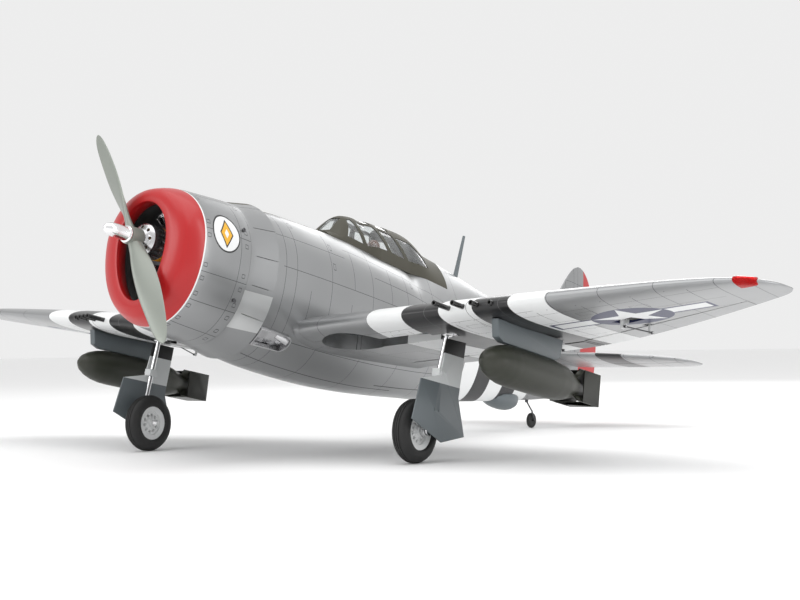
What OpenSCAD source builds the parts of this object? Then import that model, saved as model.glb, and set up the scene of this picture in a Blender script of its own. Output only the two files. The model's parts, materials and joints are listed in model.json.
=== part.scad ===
// Radio-controlled model of a single-seat radial-engined fighter, in millimetres.
// Everything is drawn level, with the propeller's centre at the origin, the nose towards -Y and
// the left wing towards +X, and is then set down on its three wheels by on_wheels().

/* [Wing] */
// Wing span, tip to tip
wing_span = 1690; // [1650:5:1730]
// Dihedral angle of the wing
dihedral = 4.9; // [4.6:0.1:5.2]
// Thickness of the wing's sheeting
wing_skin = 2.2; // [1.6:0.2:3]
// Running gap round each control surface
surface_gap = 0.8; // [0.6:0.1:1.2]
// Radius of the wing joining tube
tube_r = 11; // [9:0.5:12]
// Half the length of the wing joining tube
tube_half = 240; // [220:4:248]

/* [Fuselage] */
// Thickness of the fuselage shell
shell_t = 2.4; // [1.8:0.2:3.4]
// Thickness of the cowl
cowl_t = 2.2; // [1.6:0.2:3]
// How far the cowl flaps stand out at their rear edge
flap_flare = 5; // [3:0.5:7]
// Length of the antenna mast
mast_h = 86; // [60:2:100]

/* [Propeller and motor] */
// Propeller diameter
prop_d = 382; // [360:2:400]
// Radius of the spinner nut
spinner_r = 10.5; // [9:0.5:12]
// Length of the spinner nut
spinner_l = 46; // [38:1:52]
// Radius of the motor's bell
bell_r = 25; // [22:0.5:28]

/* [Main gear] */
// Main wheel diameter
wheel_d = 98; // [92:1:102]
// Main tyre width
tyre_w = 30; // [26:1:30]
// Radius of the main strut
strut_r = 4; // [3.5:0.25:4.5]
// Main gear retraction angle
retract_angle = 80; // [76:1:82]
// Thickness of the gear door
door_t = 2; // [1.5:0.25:3]

/* [Tail] */
// Half the span of the tailplane
tail_half = 332; // [320:2:344]
// Tail wheel diameter
tail_wheel_d = 32.8; // [28:0.4:36]
// Radius of the tail wheel wire
wire_r = 1.6; // [1.2:0.1:2]

/* [Stores and fittings] */
// Largest radius of a bomb
bomb_r = 31; // [28:0.5:33]
// Length of a gun barrel clear of the leading edge, for the longest one
gun_l = 38; // [33:1:44]
// Diameter of the pushrods
rod_d = 2; // [1.6:0.2:2.6]

/* [Stance] */
// Nose-up angle with all three wheels on the ground
ground_angle = 10.7; // [10:0.1:11.4]

/* [Hidden] */
$fn = 48;

seat_gap = 0.3;     // what lies on a curved face stands this far off it
fit_gap = 0.05;     // radial play of a pin in its hole
big = 400;          // longer than anything that it cuts

// ---------- lofts ----------

// Catmull-Rom blend of four rows of numbers at t between the middle two
function blend4(a, b, c, d, t) =
    0.5 * (2 * b + (c - a) * t + (2 * a - 5 * b + 4 * c - d) * t * t + (3 * b - a - 3 * c + d) * t * t * t);
// A table of rows with `steps` rows for each of its intervals
function smooth_rows(rows, steps) = let(last = len(rows) - 1) [
    for (i = [0:last - 1], k = [0:steps - 1])
        blend4(rows[max(i - 1, 0)], rows[i], rows[i + 1], rows[min(i + 2, last)], k / steps),
    rows[last]];
// Linear look-up of a table's row where its first column is v
function row_at(rows, v, i = 0) =
    (i >= len(rows) - 2 || v <= rows[i + 1][0])
        ? rows[i] + (rows[i + 1] - rows[i]) * (v - rows[i][0]) / (rows[i + 1][0] - rows[i][0])
        : row_at(rows, v, i + 1);
// Closed solid through rings that all have the same number of points
module loft(rings) {
    n = len(rings[0]);
    m = len(rings);
    polyhedron(
        points = [for (r = rings) for (p = r) p],
        faces = concat(
            [[for (i = [0:n - 1]) i]],
            [[for (i = [n - 1:-1:0]) (m - 1) * n + i]],
            [for (j = [0:m - 2], i = [0:n - 1]) [j * n + i, (j + 1) * n + i, (j + 1) * n + (i + 1) % n]],
            [for (j = [0:m - 2], i = [0:n - 1]) [j * n + i, (j + 1) * n + (i + 1) % n, j * n + (i + 1) % n]]));
}
// The same solid with its rings taken the other way round
function turned(rings) = [for (r = rings) [for (i = [len(r) - 1:-1:0]) r[i]]];

// ---------- body sections ----------
// Each row: y, half width, top, bottom, height of the widest point, roundness above and below it

body_points = 36;
fuselage_rows = [
    [160, 90, 86, -124, -8, 2.1, 2.15], [192, 94, 94, -135, -8, 2.1, 2.15],
    [206, 97, 99, -141, -8, 2.1, 2.15], [262, 99.5, 105, -149, -11, 2.1, 2.15],
    [340, 100, 107.5, -153.5, -14, 2.1, 2.15], [430, 98, 109, -155, -16, 2.1, 2.15],
    [520, 94, 104, -152, -16, 2.1, 2.15], [600, 88.5, 101, -146, -15, 2.05, 2.1],
    [650, 84, 104, -141.5, -14, 1.8, 2.1], [705, 77.5, 141, -136, -12, 1.4, 2.1],
    [760, 70.5, 140, -131, -9, 1.35, 2.1], [848, 59, 130.5, -120.5, -4, 1.35, 2.1],
    [930, 50, 121, -108.5, 0, 1.42, 2.1], [1020, 41.5, 109, -94.5, 5, 1.5, 2.1],
    [1110, 33.5, 97, -80, 9, 1.62, 2.1], [1200, 25.5, 85, -64.5, 12, 1.8, 2.1],
    [1290, 17.5, 72, -47, 14, 1.9, 2.1], [1366, 9.5, 60, -31, 15, 2, 2.1]];
cowl_rows = [
    [17, 53, 61, -96, -4, 2, 1.95], [17.6, 63, 68, -104, -4, 2, 2], [22, 77, 76, -112, -4, 2, 2.05],
    [30, 87.5, 81.5, -118.5, -5, 2.05, 2.1], [52, 97, 87.5, -126, -6, 2.1, 2.15],
    [90, 100, 91, -130.5, -7, 2.1, 2.15], [130, 100.5, 94, -134, -7, 2.1, 2.15],
    [150, 100, 95.5, -136, -8, 2.1, 2.15]];
// The inside of the cowl: from the lip's inner edge out to the wall
cowl_inner_rows = [
    [16, 50, 58, -93, -4, 2, 1.95], [26, 50, 58, -93, -4, 2, 1.95], [44, 60, 62, -101, -4, 2, 1.95],
    [70, 84, 78, -116, -6, 2.05, 2.05], [100, 100 - cowl_t, 91.5 - cowl_t, -131 + cowl_t, -7, 2.1, 2.15],
    [151, 100 - cowl_t, 95.5 - cowl_t, -136 + cowl_t, -8, 2.1, 2.15]];

function body_ring(row, inset = 0, count = body_points) = [for (i = [0:count - 1])
    let(a = 360 * i / count, c = cos(a), s = sin(a), top = s >= 0,
        n = top ? row[5] : row[6],
        h = (top ? row[2] - row[4] : row[4] - row[3]) - inset)
    [sign(c) * (row[1] - inset) * pow(abs(c), 2 / n), row[0], row[4] + sign(s) * h * pow(abs(s), 2 / n)]];
module body_loft(rows, inset = 0, steps = 2) {
    loft(turned([for (r = smooth_rows(rows, steps)) body_ring(r, inset)]));
}
// Half width of a body table at y and z
function side_at(rows, y, z, inset = 0) = let(r = row_at(rows, y), top = z >= r[4],
    n = top ? r[5] : r[6], h = (top ? r[2] - r[4] : r[4] - r[3]) - inset)
    (r[1] - inset) * pow(max(0, 1 - pow(abs(z - r[4]) / h, n)), 1 / n);
nose_y = fuselage_rows[0][0];
tail_y = fuselage_rows[len(fuselage_rows) - 1][0];
// Where the wing's stub ends and a wing panel begins
stub_x = 94;

// ---------- wing sections ----------
// Each row: share of the panel's span, leading edge, trailing edge, thickness as a share of chord

root_y = 283;
wing_rows = [
    [0, root_y, 652, 0.14], [0.14, root_y + 3, 652, 0.137], [0.31, root_y + 7, 648, 0.132],
    [0.47, root_y + 12, 635, 0.126], [0.6, root_y + 17, 602, 0.121], [0.71, root_y + 22, 563, 0.116],
    [0.81, root_y + 29, 523, 0.111], [0.885, root_y + 40, 490, 0.106], [0.935, root_y + 55, 467, 0.1],
    [0.97, root_y + 77, 450, 0.094], [0.989, root_y + 101, 437, 0.088], [1, root_y + 128, 421, 0.08]];
root_z = -84;
panel_span = wing_span / 2 - stub_x;
function chord_z(x) = root_z + (x - stub_x) * tan(dihedral);
function rib_at(x) = row_at(wing_rows, (x - stub_x) / panel_span);
camber = 0.02;
function camber_at(s) = s < 0.4 ? camber / 0.16 * (0.8 * s - s * s) : camber / 0.36 * (0.2 + 0.8 * s - s * s);
function half_thick(s, t) = 5 * t * (0.2969 * sqrt(s) - 0.126 * s - 0.3516 * s * s + 0.2843 * pow(s, 3) - 0.1015 * pow(s, 4));
te_half = 0.5;      // half the thickness of a trailing edge
// Height above the chord line of the upper (side 1) or lower (side -1) skin at share s of a chord
function skin_z(s, chord, t, side, cam = 1) = cam * chord * camber_at(s) + side * (chord * half_thick(s, t) + te_half * s);
rib_steps = 11;
function share(k) = (1 - cos(180 * k / rib_steps)) / 2;
function rib_ring(x, row, grow = 0, cam = 1) = let(c = row[2] - row[1]) concat(
    [for (k = [rib_steps:-1:0]) let(s = share(k))
        [x, row[1] - grow + s * (c + 2 * grow), chord_z(x) + skin_z(s, c, row[3], 1, cam) + grow]],
    [for (k = [0:rib_steps]) let(s = share(k))
        [x, row[1] - grow + s * (c + 2 * grow), chord_z(x) + skin_z(s, c, row[3], -1, cam) - grow]]);
module wing_loft(grow = 0) {
    loft([for (r = smooth_rows(wing_rows, 2)) rib_ring(stub_x + r[0] * panel_span, r, grow)]);
}
// Height of the wing's skin over a point in plan
function wing_z(x, y, side) = let(r = rib_at(x), c = r[2] - r[1])
    chord_z(x) + skin_z((y - r[1]) / c, c, r[3], side);
// Height of the middle of the wing's thickness
function wing_mid(x, y) = (wing_z(x, y, 1) + wing_z(x, y, -1)) / 2;

module mirror_side(side) {
    mirror([side < 0 ? 1 : 0, 0, 0]) children();
}
// Local X runs along a hinge line from p to q, local Y aft and local Z up
module hinge_frame(p, q) {
    d = q - p;
    translate(p) rotate([0, -atan2(d[2], norm([d[0], d[1]])), atan2(d[1], d[0])]) children();
}
// What a control surface keeps of the full section: a nose bevelled above and below its hinge line
module surface_block(length, above, below, end_gap = 0, aft = 150) {
    rise = 60;
    translate([end_gap, 0, 0]) rotate([90, 0, 90]) linear_extrude(length - 2 * end_gap)
        polygon([[0, 0], [rise * tan(above), rise], [aft, rise], [aft, -rise], [rise * tan(below), -rise]]);
}
// The slot that the surface turns in
module surface_slot(length, aft = 150) {
    translate([0, -surface_gap, -60]) cube([length, aft, 120]);
}

// Hinges in a hinge frame: a tab with a pin on the fixed side, a barrel each side of it on the moving one
knuckle_r = 2.2;
knuckle_w = 3.6;
knuckle_pin_r = 1;
module knuckle_notch(x) {
    translate([x - 1.6 * knuckle_w, -knuckle_r - 0.6, -knuckle_r - 0.6])
        cube([3.2 * knuckle_w, knuckle_r + 3, 2 * knuckle_r + 1.2]);
}
module knuckle_fixed(x) {
    translate([x - knuckle_w / 2, -knuckle_r - 3, -0.8]) cube([knuckle_w, knuckle_r + 3, 1.6]);
    pin_x([x - 1.5 * knuckle_w, 0, 0], knuckle_pin_r, 3 * knuckle_w);
}
module knuckle_moving(x) {
    for (e = [-1, 1]) pin_x([x + e * knuckle_w - knuckle_w / 2 + seat_gap, 0, 0], knuckle_r, knuckle_w - 2 * seat_gap);
}
module knuckle_space(x) {
    pin_x([x - 1.6 * knuckle_w, 0, 0], knuckle_pin_r + fit_gap, 3.2 * knuckle_w);
    pin_x([x - knuckle_w / 2 - 0.2, 0, 0], knuckle_r + 0.1, knuckle_w + 0.4);
}

// ---------- shared positions ----------

// Level-frame side view polygons, drawn as [y, z], become prisms across the model
module side_prism(x0, x1, points) {
    translate([x0, 0, 0]) rotate([90, 0, 90]) linear_extrude(x1 - x0) polygon(points);
}
// A rod from p to q
module rod(p, q, r) {
    d = q - p;
    translate(p) rotate([0, acos(d[2] / norm(d)), atan2(d[1], d[0])]) cylinder(r = r, h = norm(d));
}
// A pin along X, Y or Z from its starting point
module pin_x(p, r, h) { translate(p) rotate([0, 90, 0]) cylinder(r = r, h = h); }
module pin_y(p, r, h) { translate(p) rotate([-90, 0, 0]) cylinder(r = r, h = h); }
module pin_z(p, r, h) { translate(p) cylinder(r = r, h = h); }

cowl_end = 150;
cowl_flap_end = 208;
firewall_y = 176;
firewall_t = 5;
tube_y = 430;
tube_z = -70;
spar_gap = 0.05;
// Canopy hatch: where it begins and ends, and the height of its lower edge
hatch_rail = [[400, 100], [426, 98.5], [520, 96], [538, 88], [640, 87], [771, 85]];
canopy_t = 2;
canopy_rows = [
    [400, 100, 110.3, 2.1], [424, 98.6, 114, 2.1], [432, 98.4, 119, 2.1], [457, 97.8, 148, 1.9],
    [484, 97, 157, 1.9], [520, 96, 159, 1.95], [538, 88, 160.5, 1.95], [580, 87.6, 163, 1.95],
    [640, 87, 164.5, 1.9], [672, 86.5, 159, 1.75], [708, 86, 146.5, 1.5], [740, 85.5, 142, 1.35],
    [770.6, 85, 139.5, 1.32]];
canopy_points = 24;
// Ring over the hatch's rail, its sides flush with the fuselage
function canopy_ring(row, inset) = let(w = side_at(fuselage_rows, row[0], row[1]) - inset,
    base = row_at(hatch_rail, row[0])[1] + seat_gap, h = row[2] - base - inset)
    [for (i = [0:canopy_points - 1]) let(a = 180 * i / (canopy_points - 1), c = cos(a), s = sin(a))
        [sign(c) * w * pow(abs(c), 2 / row[3]), row[0], base - (inset > 0 ? 1 : 0) + h * pow(abs(s), 2 / row[3])]];
module canopy_loft(inset = 0) {
    loft(turned([for (r = smooth_rows(canopy_rows, 2)) canopy_ring(r, inset)]));
}

// Main gear, for the left side
gear_pivot = [315, 380, -78];
wheel_centre = [288.7, 354.6, -235.3];
strut_foot = [309, wheel_centre[1], wheel_centre[2]];
strut_way = (strut_foot - gear_pivot) / norm(strut_foot - gear_pivot);
pivot_r = 2.5;
axle_r = 2.5;
hub_half = 12;
cheek_in = 8;       // half the gap between the retract's two cheeks
cheek_t = 4;
door_x = 320;

// Tail
fin_rows = [
    [40, 1150, 1452], [90, 1182, 1455], [130, 1215, 1448], [165, 1246, 1436], [197, 1272, 1422],
    [225, 1294, 1407], [244, 1312, 1391], [256, 1328, 1374], [262, 1343, 1357]];
rudder_low_rows = [
    [-31, 1352, 1370], [-22, 1335, 1398], [-5, 1332, 1430], [15, 1332, 1447], [41, 1332, 1455]];
fin_t = 0.085;
tail_rows = [
    [0, 1150, 1338], [90, 1166, 1340], [180, 1187, 1340], [250, 1210, 1337], [296, 1236, 1331],
    [320, 1262, 1322], [tail_half, 1292, 1309]];
tail_t = 0.09;
tailplane_z = 30;
elevator_y = 1262;
rudder_y = 1340;
elevator_x = 24;
joiner_r = 2;
collar_r = wire_r + 2;
// Where the pushrods are pinned to the tail horns
rudder_pin = [20, rudder_y + 3, 2];
elevator_pin = [-30, elevator_y + 3, tailplane_z - 18];
tail_axis_y = 1163;
tail_wheel_at = [0, 1188.8, -111];

function fin_ring(row, grow = 0) = let(c = row[2] - row[1]) concat(
    [for (k = [rib_steps:-1:0]) let(s = share(k))
        [skin_z(s, c, fin_t, 1, 0) + grow, row[1] + s * c + grow * (2 * s - 1), row[0]]],
    [for (k = [0:rib_steps]) let(s = share(k))
        [skin_z(s, c, fin_t, -1, 0) - grow, row[1] + s * c + grow * (2 * s - 1), row[0]]]);
function tail_ring(row, side, grow = 0) = let(c = row[2] - row[1]) concat(
    [for (k = [rib_steps:-1:0]) let(s = share(k))
        [side * row[0], row[1] + s * c + grow * (2 * s - 1), tailplane_z + skin_z(s, c, tail_t, 1, 0) + grow]],
    [for (k = [0:rib_steps]) let(s = share(k))
        [side * row[0], row[1] + s * c + grow * (2 * s - 1), tailplane_z + skin_z(s, c, tail_t, -1, 0) - grow]]);
function reversed(list) = [for (i = [len(list) - 1:-1:0]) list[i]];
module fin_loft(grow = 0) {
    loft(turned([for (r = smooth_rows(concat(rudder_low_rows, [for (i = [1:len(fin_rows) - 1]) fin_rows[i]]), 2))
        fin_ring(r, grow)]));
}
module tail_loft(grow = 0) {
    rows = smooth_rows(tail_rows, 2);
    loft(concat([for (r = reversed(rows)) tail_ring(r, -1, grow)],
        [for (i = [1:len(rows) - 1]) tail_ring(rows[i], 1, grow)]));
}

// ---------- fuselage ----------

module wing_stub() {
    // the wing's root section carried into the body, a little fuller for the fillet
    loft([for (k = [0, 0.5, 1]) rib_ring(50 + (stub_x - 50) * k,
        [0, root_y - 10 * (1 - k), 652 + 14 * (1 - k), 0.14 + 0.03 * (1 - k)])]);
}
exhaust_y = 243;
module exhaust_place(side) {
    mirror_side(side) translate([70, exhaust_y, -109]) rotate([0, 43, 0]) children();
}
module exhaust_shape(grow) {
    front = cowl_flap_end + 2 - exhaust_y;
    translate([0, front - grow, -16 - grow]) cube([20, 30 - front + 2 * grow, 32 + 2 * grow]);
    translate([0, 30, 0]) rotate([0, 90, 0]) cylinder(r = 16 + grow, h = 20);
}
module fuselage_shell() {
    color("silver") difference() {
        union() {
            difference() {
                intersection() {
                    body_loft(fuselage_rows);
                    translate([-big, 0, -big]) cube([2 * big, rudder_y - surface_gap - 4, 2 * big]);
                }
                body_loft([for (r = fuselage_rows) if (r[0] <= 1200) r[0] < 165 ? r - [2, 0, 0, 0, 0, 0, 0] : r], shell_t);
            }
            for (s = [-1, 1]) mirror_side(s) wing_stub();
        }
        // everything above the hatch's rail
        side_prism(-big, big, concat(hatch_rail, [[771, 300], [400, 300]]));
        intersection() {
            body_loft([for (r = fuselage_rows) if (r[0] <= 1200) r], shell_t);
            translate([-90, 230, -130]) cube([180, 470, 120]);
        }
        // wing tube and the holding screws' holes
        pin_x([-big, tube_y, tube_z], tube_r + fit_gap, 2 * big);
        for (s = [-1, 1]) exhaust_place(s) translate([-14, 0, 0]) exhaust_shape(seat_gap);
        // tailplane, elevator joiner, tail leg and the two tail pushrods
        intersection() {
            tail_loft(seat_gap);
            translate([-big, 0, -big]) cube([2 * big, elevator_y, 2 * big]);
        }
        pin_x([-60, elevator_y, tailplane_z], joiner_r + 1, 120);
        pin_z([0, tail_axis_y, -90], collar_r + fit_gap, 62);
        translate([13, rudder_y - 152, rudder_pin[2] - 5]) cube([60, 130, 10]);
        translate([-60, elevator_y - 182, elevator_pin[2] - 6]) cube([42, 64, 12]);
    }
}
module engine_cowl() {
    color("silver") difference() {
        body_loft(cowl_rows, 0, 2);
        body_loft(cowl_inner_rows, 0, 2);
        for (p = block_spots) cowl_screw_place(p) translate([0, 0, -20]) cylinder(r = screw_r + fit_gap, h = 40);
    }
}
flap_rows = [
    [cowl_end + seat_gap, 100, 95.5, -136, -8, 2.1, 2.15],
    [cowl_end + 12, 100.6, 96.5, -137, -8, 2.1, 2.15],
    [cowl_flap_end, 101 + flap_flare, 101 + flap_flare, -142 - flap_flare, -8, 2.1, 2.15]];
flap_inner_rows = [
    [cowl_end - 1, 98, 93.5, -134, -8, 2.1, 2.15], [cowl_end + 12, 98.6, 94.5, -135, -8, 2.1, 2.15],
    [cowl_flap_end + 1, 99.4 + flap_flare, 99.4 + flap_flare, -140.4 - flap_flare, -8, 2.1, 2.15]];
petals = 14;
flap_mid_z = -20;
module cowl_flaps() {
    color("silver") difference() {
        body_loft(flap_rows, 0, 1);
        body_loft(flap_inner_rows, 0, 1);
        // slits between the petals, none right under the belly
        for (i = [0:petals - 1]) let(a = 360 * (i + 0.5) / petals) if (sin(a) < 0.9)
            translate([0, cowl_end + 12, flap_mid_z]) rotate([0, a, 0]) translate([0, 0, -0.5]) cube([200, 80, 1]);
    }
}
module firewall() {
    // plate inside the fuselage's front, with four blocks that hold the cowl
    color("peru") difference() {
        union() {
            intersection() {
                translate([-big, firewall_y, -big]) cube([2 * big, firewall_t, 2 * big]);
                body_loft(fuselage_rows, shell_t + seat_gap);
            }
            for (p = block_spots) translate([p[0] < 0 ? -70 : 50, cowl_end - 26, p[1] - 7])
                cube([20, firewall_y - cowl_end + 26, 14]);
            intersection() {
                for (p = block_spots) translate([p[0] < 0 ? -110 : 50, cowl_end - 26, p[1] - 7]) cube([60, 22, 14]);
                body_loft(cowl_inner_rows, seat_gap);
            }
        }
        for (a = [45:90:315]) rotate([0, a, 0]) pin_y([32, firewall_y - 1, 0], 2 + fit_gap, firewall_t + 2);
        pin_y([0, firewall_y - 1, 0], 12, firewall_t + 2);
        for (p = block_spots) cowl_screw_place(p) translate([0, 0, -20]) cylinder(r = screw_r + fit_gap, h = 40);
    }
}
// The four screws that hold the cowl, each along Z from the cowl's outer face
block_spots = [[1, 38], [-1, 38], [1, -72], [-1, -72]];
screw_r = 1.5;
module cowl_screw_place(p) {
    side = side_at(cowl_rows, cowl_end - 15, p[1]);
    translate([p[0] * side, cowl_end - 15, p[1]]) rotate([0, 90 * p[0], 0]) children();
}

// ---------- propeller and motor ----------

prop_rake = -121.7 + 90;
shaft_r = 4;
bell_y0 = 12;
bell_l = 36;
module blade_half() {
    // sections from the hub out: radius, chord, pitch angle, thickness, sweep forward
    rows = [[9, 21, 62, 13, 0], [30, 25, 50, 9, 0], [60, 33, 36, 6.5, -1], [100, 36, 25, 4.8, -3],
        [140, 31, 19, 3.6, -5], [168, 24, 16, 2.6, -7], [183, 16, 15, 2, -8], [prop_d / 2, 6, 14, 1.4, -8]];
    loft([for (r = smooth_rows(rows, 2)) [for (i = [0:15]) let(a = 360 * i / 16,
        u = r[1] / 2 * cos(a), v = r[3] / 2 * sin(a) * (1 + 0.35 * cos(a)))
        [u * cos(r[2]) + v * sin(r[2]), r[4] - u * sin(r[2]) + v * cos(r[2]), r[0]]]]);
}
module propeller() {
    color("black") difference() {
        union() {
            pin_y([0, -11, 0], 14, 22);
            for (a = [0, 180]) rotate([0, prop_rake + a, 0]) intersection() {
                blade_half();
                pin_y([0, -50, 0], prop_d / 2, 100);
            }
        }
        pin_y([0, -60, 0], shaft_r + fit_gap, 120);
    }
}
module spinner_nut() {
    color("gainsboro") difference() {
        translate([0, -11 - seat_gap, 0]) rotate([90, 0, 0]) rotate_extrude() polygon([
            [0, 0], [13, 0], [13, 3], [spinner_r, 4], [spinner_r, spinner_l * 0.55],
            for (k = [1:6]) [spinner_r * cos(15 * k), spinner_l * (0.55 + 0.45 * sin(15 * k))]]);
        pin_y([0, -31, 0], shaft_r + fit_gap, 32);
    }
}
module motor_bell() {
    color("silver") union() {
        difference() {
            translate([0, bell_y0, 0]) rotate([-90, 0, 0]) rotate_extrude() polygon([
                [0, -0.6], [11, -0.6], [15, 3], [bell_r - 4, 5], [bell_r, 9], [bell_r, bell_l],
                [bell_r - 2.2, bell_l], [bell_r - 2.2, 10], [0, 10]]);
            for (a = [0:45:315]) rotate([0, a, 0]) pin_y([18.5, bell_y0 - 2, 0], 2.6, 20);
        }
        pin_y([0, -30, 0], shaft_r, 92);
    }
}
stator_y = bell_y0 + bell_l + 2;
module motor_stator() {
    color("goldenrod") difference() {
        union() {
            pin_y([0, bell_y0 + 12, 0], bell_r - 3.4, bell_l - 10);
            pin_y([0, stator_y, 0], bell_r, 10);
        }
        pin_y([0, -40, 0], shaft_r + fit_gap, 120);
        for (a = [0:30:330]) rotate([0, a + 15, 0])
            translate([15, bell_y0 + 10, -1.2]) cube([10, bell_l - 10, 2.4]);
    }
}
module motor_mount() {
    // plate behind the motor on four posts from the firewall
    color("dimgray") {
        difference() {
            translate([-30, stator_y + 10 + seat_gap, -30]) cube([60, 4, 60]);
            pin_y([0, 0, 0], 9, 100);
        }
        for (a = [45:90:315]) rotate([0, a, 0]) {
            pin_y([32, stator_y + 14 + seat_gap, 0], 4.5, firewall_y - stator_y - 14 - 2 * seat_gap);
            pin_y([32, firewall_y - 1, 0], 2, firewall_t + 6);
        }
    }
}
crank_y = 92;
cyl_n = 9;
module dummy_crankcase() {
    // ring-shaped crankcase on two arms from the cowl blocks
    color("gray") difference() {
        union() {
            translate([0, crank_y, 0]) rotate([-90, 0, 0]) rotate_extrude()
                polygon([[37, -14], [41, -14], [46, -8], [49, 0], [49, 30], [37, 30]]);
            for (a = [45:90:315]) rotate([0, a, 0]) pin_y([41, crank_y + 29, 0], 3, firewall_y - crank_y - 29 - seat_gap);
        }
    }
}
module dummy_cylinders() {
    color("gainsboro") for (i = [0:cyl_n - 1]) rotate([0, 360 * i / cyl_n, 0]) translate([0, crank_y + 15, 0]) {
        rotate_extrude() polygon(concat([[0, 49 + seat_gap], [9.5, 49 + seat_gap]],
            [for (k = [0:5]) for (e = [[9.5, 0.6], [12, 0.6], [12, 2.4], [9.5, 2.4]]) [e[0], 51 + 4 * k + e[1]]],
            [[9.5, 77], [8, 81], [0, 81]]));
        for (s = [-1, 1]) rod([5 * s, -11.5, 49], [7 * s, -13, 78], 1.3);
        translate([-9, -15, 76]) cube([18, 8, 5]);
    }
}

// ---------- inside the fuselage ----------

tray_z = 10;
tray_t = 3;
on_tray = tray_z + tray_t + seat_gap;
module equipment_tray() {
    color("burlywood") intersection() {
        translate([-big, firewall_y + 12, tray_z]) cube([2 * big, 500, tray_t]);
        body_loft(fuselage_rows, shell_t + seat_gap);
    }
}
module battery_pack() {
    color("navy") translate([-22, 236, on_tray]) cube([44, 138, 42]);
}
module speed_controller() {
    color("darkred") translate([-18, 392, on_tray]) cube([36, 66, 16]);
}
module receiver() {
    color("slategray") translate([-13, 482, on_tray]) cube([26, 44, 14]);
}
module tail_servos() {
    color("black") for (x = [-26, 6]) translate([x, 560, on_tray]) {
        cube([20, 40, 28]);
        pin_z([10, 12, 27], 4, 6);
    }
}

// ---------- canopy hatch ----------

windows = [
    [[453, 111], [468, 146], [480, 149], [503, 109]],
    [[491, 147], [537, 149], [567, 111], [515, 109]],
    [[549, 148], [592, 148], [624, 110], [580, 111]],
    [[604, 146], [652, 148], [690, 128], [704, 110], [640, 110]]];
module canopy_windows(shrink = 0) {
    for (w = windows) translate([-60, 0, 0]) rotate([90, 0, 90]) linear_extrude(120)
        offset(delta = -shrink) polygon(w);
    for (y = [500, 553]) translate([-22 + shrink, y + shrink, 152.5])
        cube([44 - 2 * shrink, 36 - 2 * shrink, 40]);
    translate([-13 + shrink, 400, 119 + shrink]) cube([26 - 2 * shrink, 64, 27 - 2 * shrink]);
}
inner_canopy_rows = [for (i = [1:len(canopy_rows) - 2]) canopy_rows[i]];
module canopy_frame() {
    color("olive") difference() {
        canopy_loft();
        loft(turned([for (r = smooth_rows(inner_canopy_rows, 2)) canopy_ring(r, canopy_t)]));
        canopy_windows();
    }
}
module canopy_glazing() {
    color("lightblue") intersection() {
        difference() {
            loft(turned([for (r = smooth_rows(canopy_rows, 2)) canopy_ring(r, 0.3)]));
            loft(turned([for (r = smooth_rows(inner_canopy_rows, 2)) canopy_ring(r, 1.5)]));
        }
        canopy_windows(0.2);
    }
}
tub_w = 28;
tub_y0 = 446;
tub_y1 = 640;
tub_z0 = 50;
module cockpit_tub() {
    color("darkslategray") {
        difference() {
            union() {
                translate([-tub_w, tub_y0, tub_z0]) cube([2 * tub_w, tub_y1 - tub_y0, 42]);
                // rim that meets the hatch's frame on both sides
                intersection() {
                    translate([-60, 548, tub_z0 + 40]) cube([120, tub_y1 - 548, 2]);
                    canopy_loft(canopy_t + 0.1);
                }
            }
            translate([-tub_w + 2, tub_y0 + 2, tub_z0 + 2]) cube([2 * tub_w - 4, tub_y1 - tub_y0 - 4, 60]);
        }
        // instrument panel, seat back and headrest
        translate([-24, 474, tub_z0 + 1]) cube([48, 3, 60]);
        translate([-20, 600, tub_z0 + 1]) cube([40, 4, 54]);
        translate([-9, 596, tub_z0 + 50]) cube([18, 8, 22]);
        translate([-5, 470, tub_z0 + 60]) cube([10, 12, 12]);
    }
}
module pilot_figure() {
    shapes = [[tub_z0 + 2 + seat_gap, 19, 13], [74, 21, 14], [92, 24, 14], [102, 20, 12], [108, 10, 9], [114, 7, 8]];
    color("saddlebrown") {
        loft([for (r = smooth_rows(shapes, 2)) [for (i = [0:19]) let(a = 360 * i / 20)
            [r[1] * cos(a), 580 + r[2] * sin(a), r[0]]]]);
        translate([0, 578, 124]) sphere(r = 13);
        for (s = [-1, 1]) rod([s * 18, 574, 96], [s * 14, 540, 76], 5);
        pin_z([0, 538, tub_z0 + 3], 2, 26);
    }
}

// ---------- fittings on the body ----------

module antenna_mast() {
    color("silver") difference() {
        side_prism(-1.5, 1.5, [[840, 110], [854, 110], [872, 131 + mast_h], [866.5, 131 + mast_h]]);
        body_loft(fuselage_rows, -seat_gap);
    }
}
fairing_rows = [
    [1000, 5, -72, -98.5, -88, 2, 2], [1014, 19, -66, -102, -88, 2, 2], [1040, 25, -62, -106, -86, 2, 2],
    [1075, 24, -60, -105.5, -84, 2, 2], [1102, 16, -58, -97, -80, 2, 2], [1116, 6, -62, -86, -76, 2, 2]];
module turbo_fairing() {
    color("gray") difference() {
        body_loft(fairing_rows);
        body_loft(fuselage_rows, -seat_gap);
    }
}
module exhaust_outlets() {
    // shallow pans let into both sides, each with two flaps and a pipe
    color("lightgray") for (s = [-1, 1]) exhaust_place(s) {
        difference() {
            translate([-14 + seat_gap, 0, 0]) exhaust_shape(0);
            translate([-8, 0, 0]) exhaust_shape(-2);
        }
        translate([-8, -28, -12]) rotate([0, 0, -7]) cube([1.6, 24, 24]);
        translate([-8, -1, -12]) rotate([0, 0, -7]) cube([1.6, 24, 24]);
        difference() {
            rod([-8, 20, 6], [4, 38, 6], 7);
            rod([-6, 23, 6], [8, 44, 6], 5.6);
        }
    }
}
module fasteners() {
    color("dimgray") for (p = block_spots) cowl_screw_place(p) {
        translate([0, 0, -14]) cylinder(r = screw_r, h = 16);
        translate([0, 0, 1.4]) difference() {
            cylinder(r = 3.2, h = 1.6);
            translate([0, 0, 0.8]) cylinder(r = 1.4, h = 2, $fn = 6);
        }
    }
}

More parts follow.
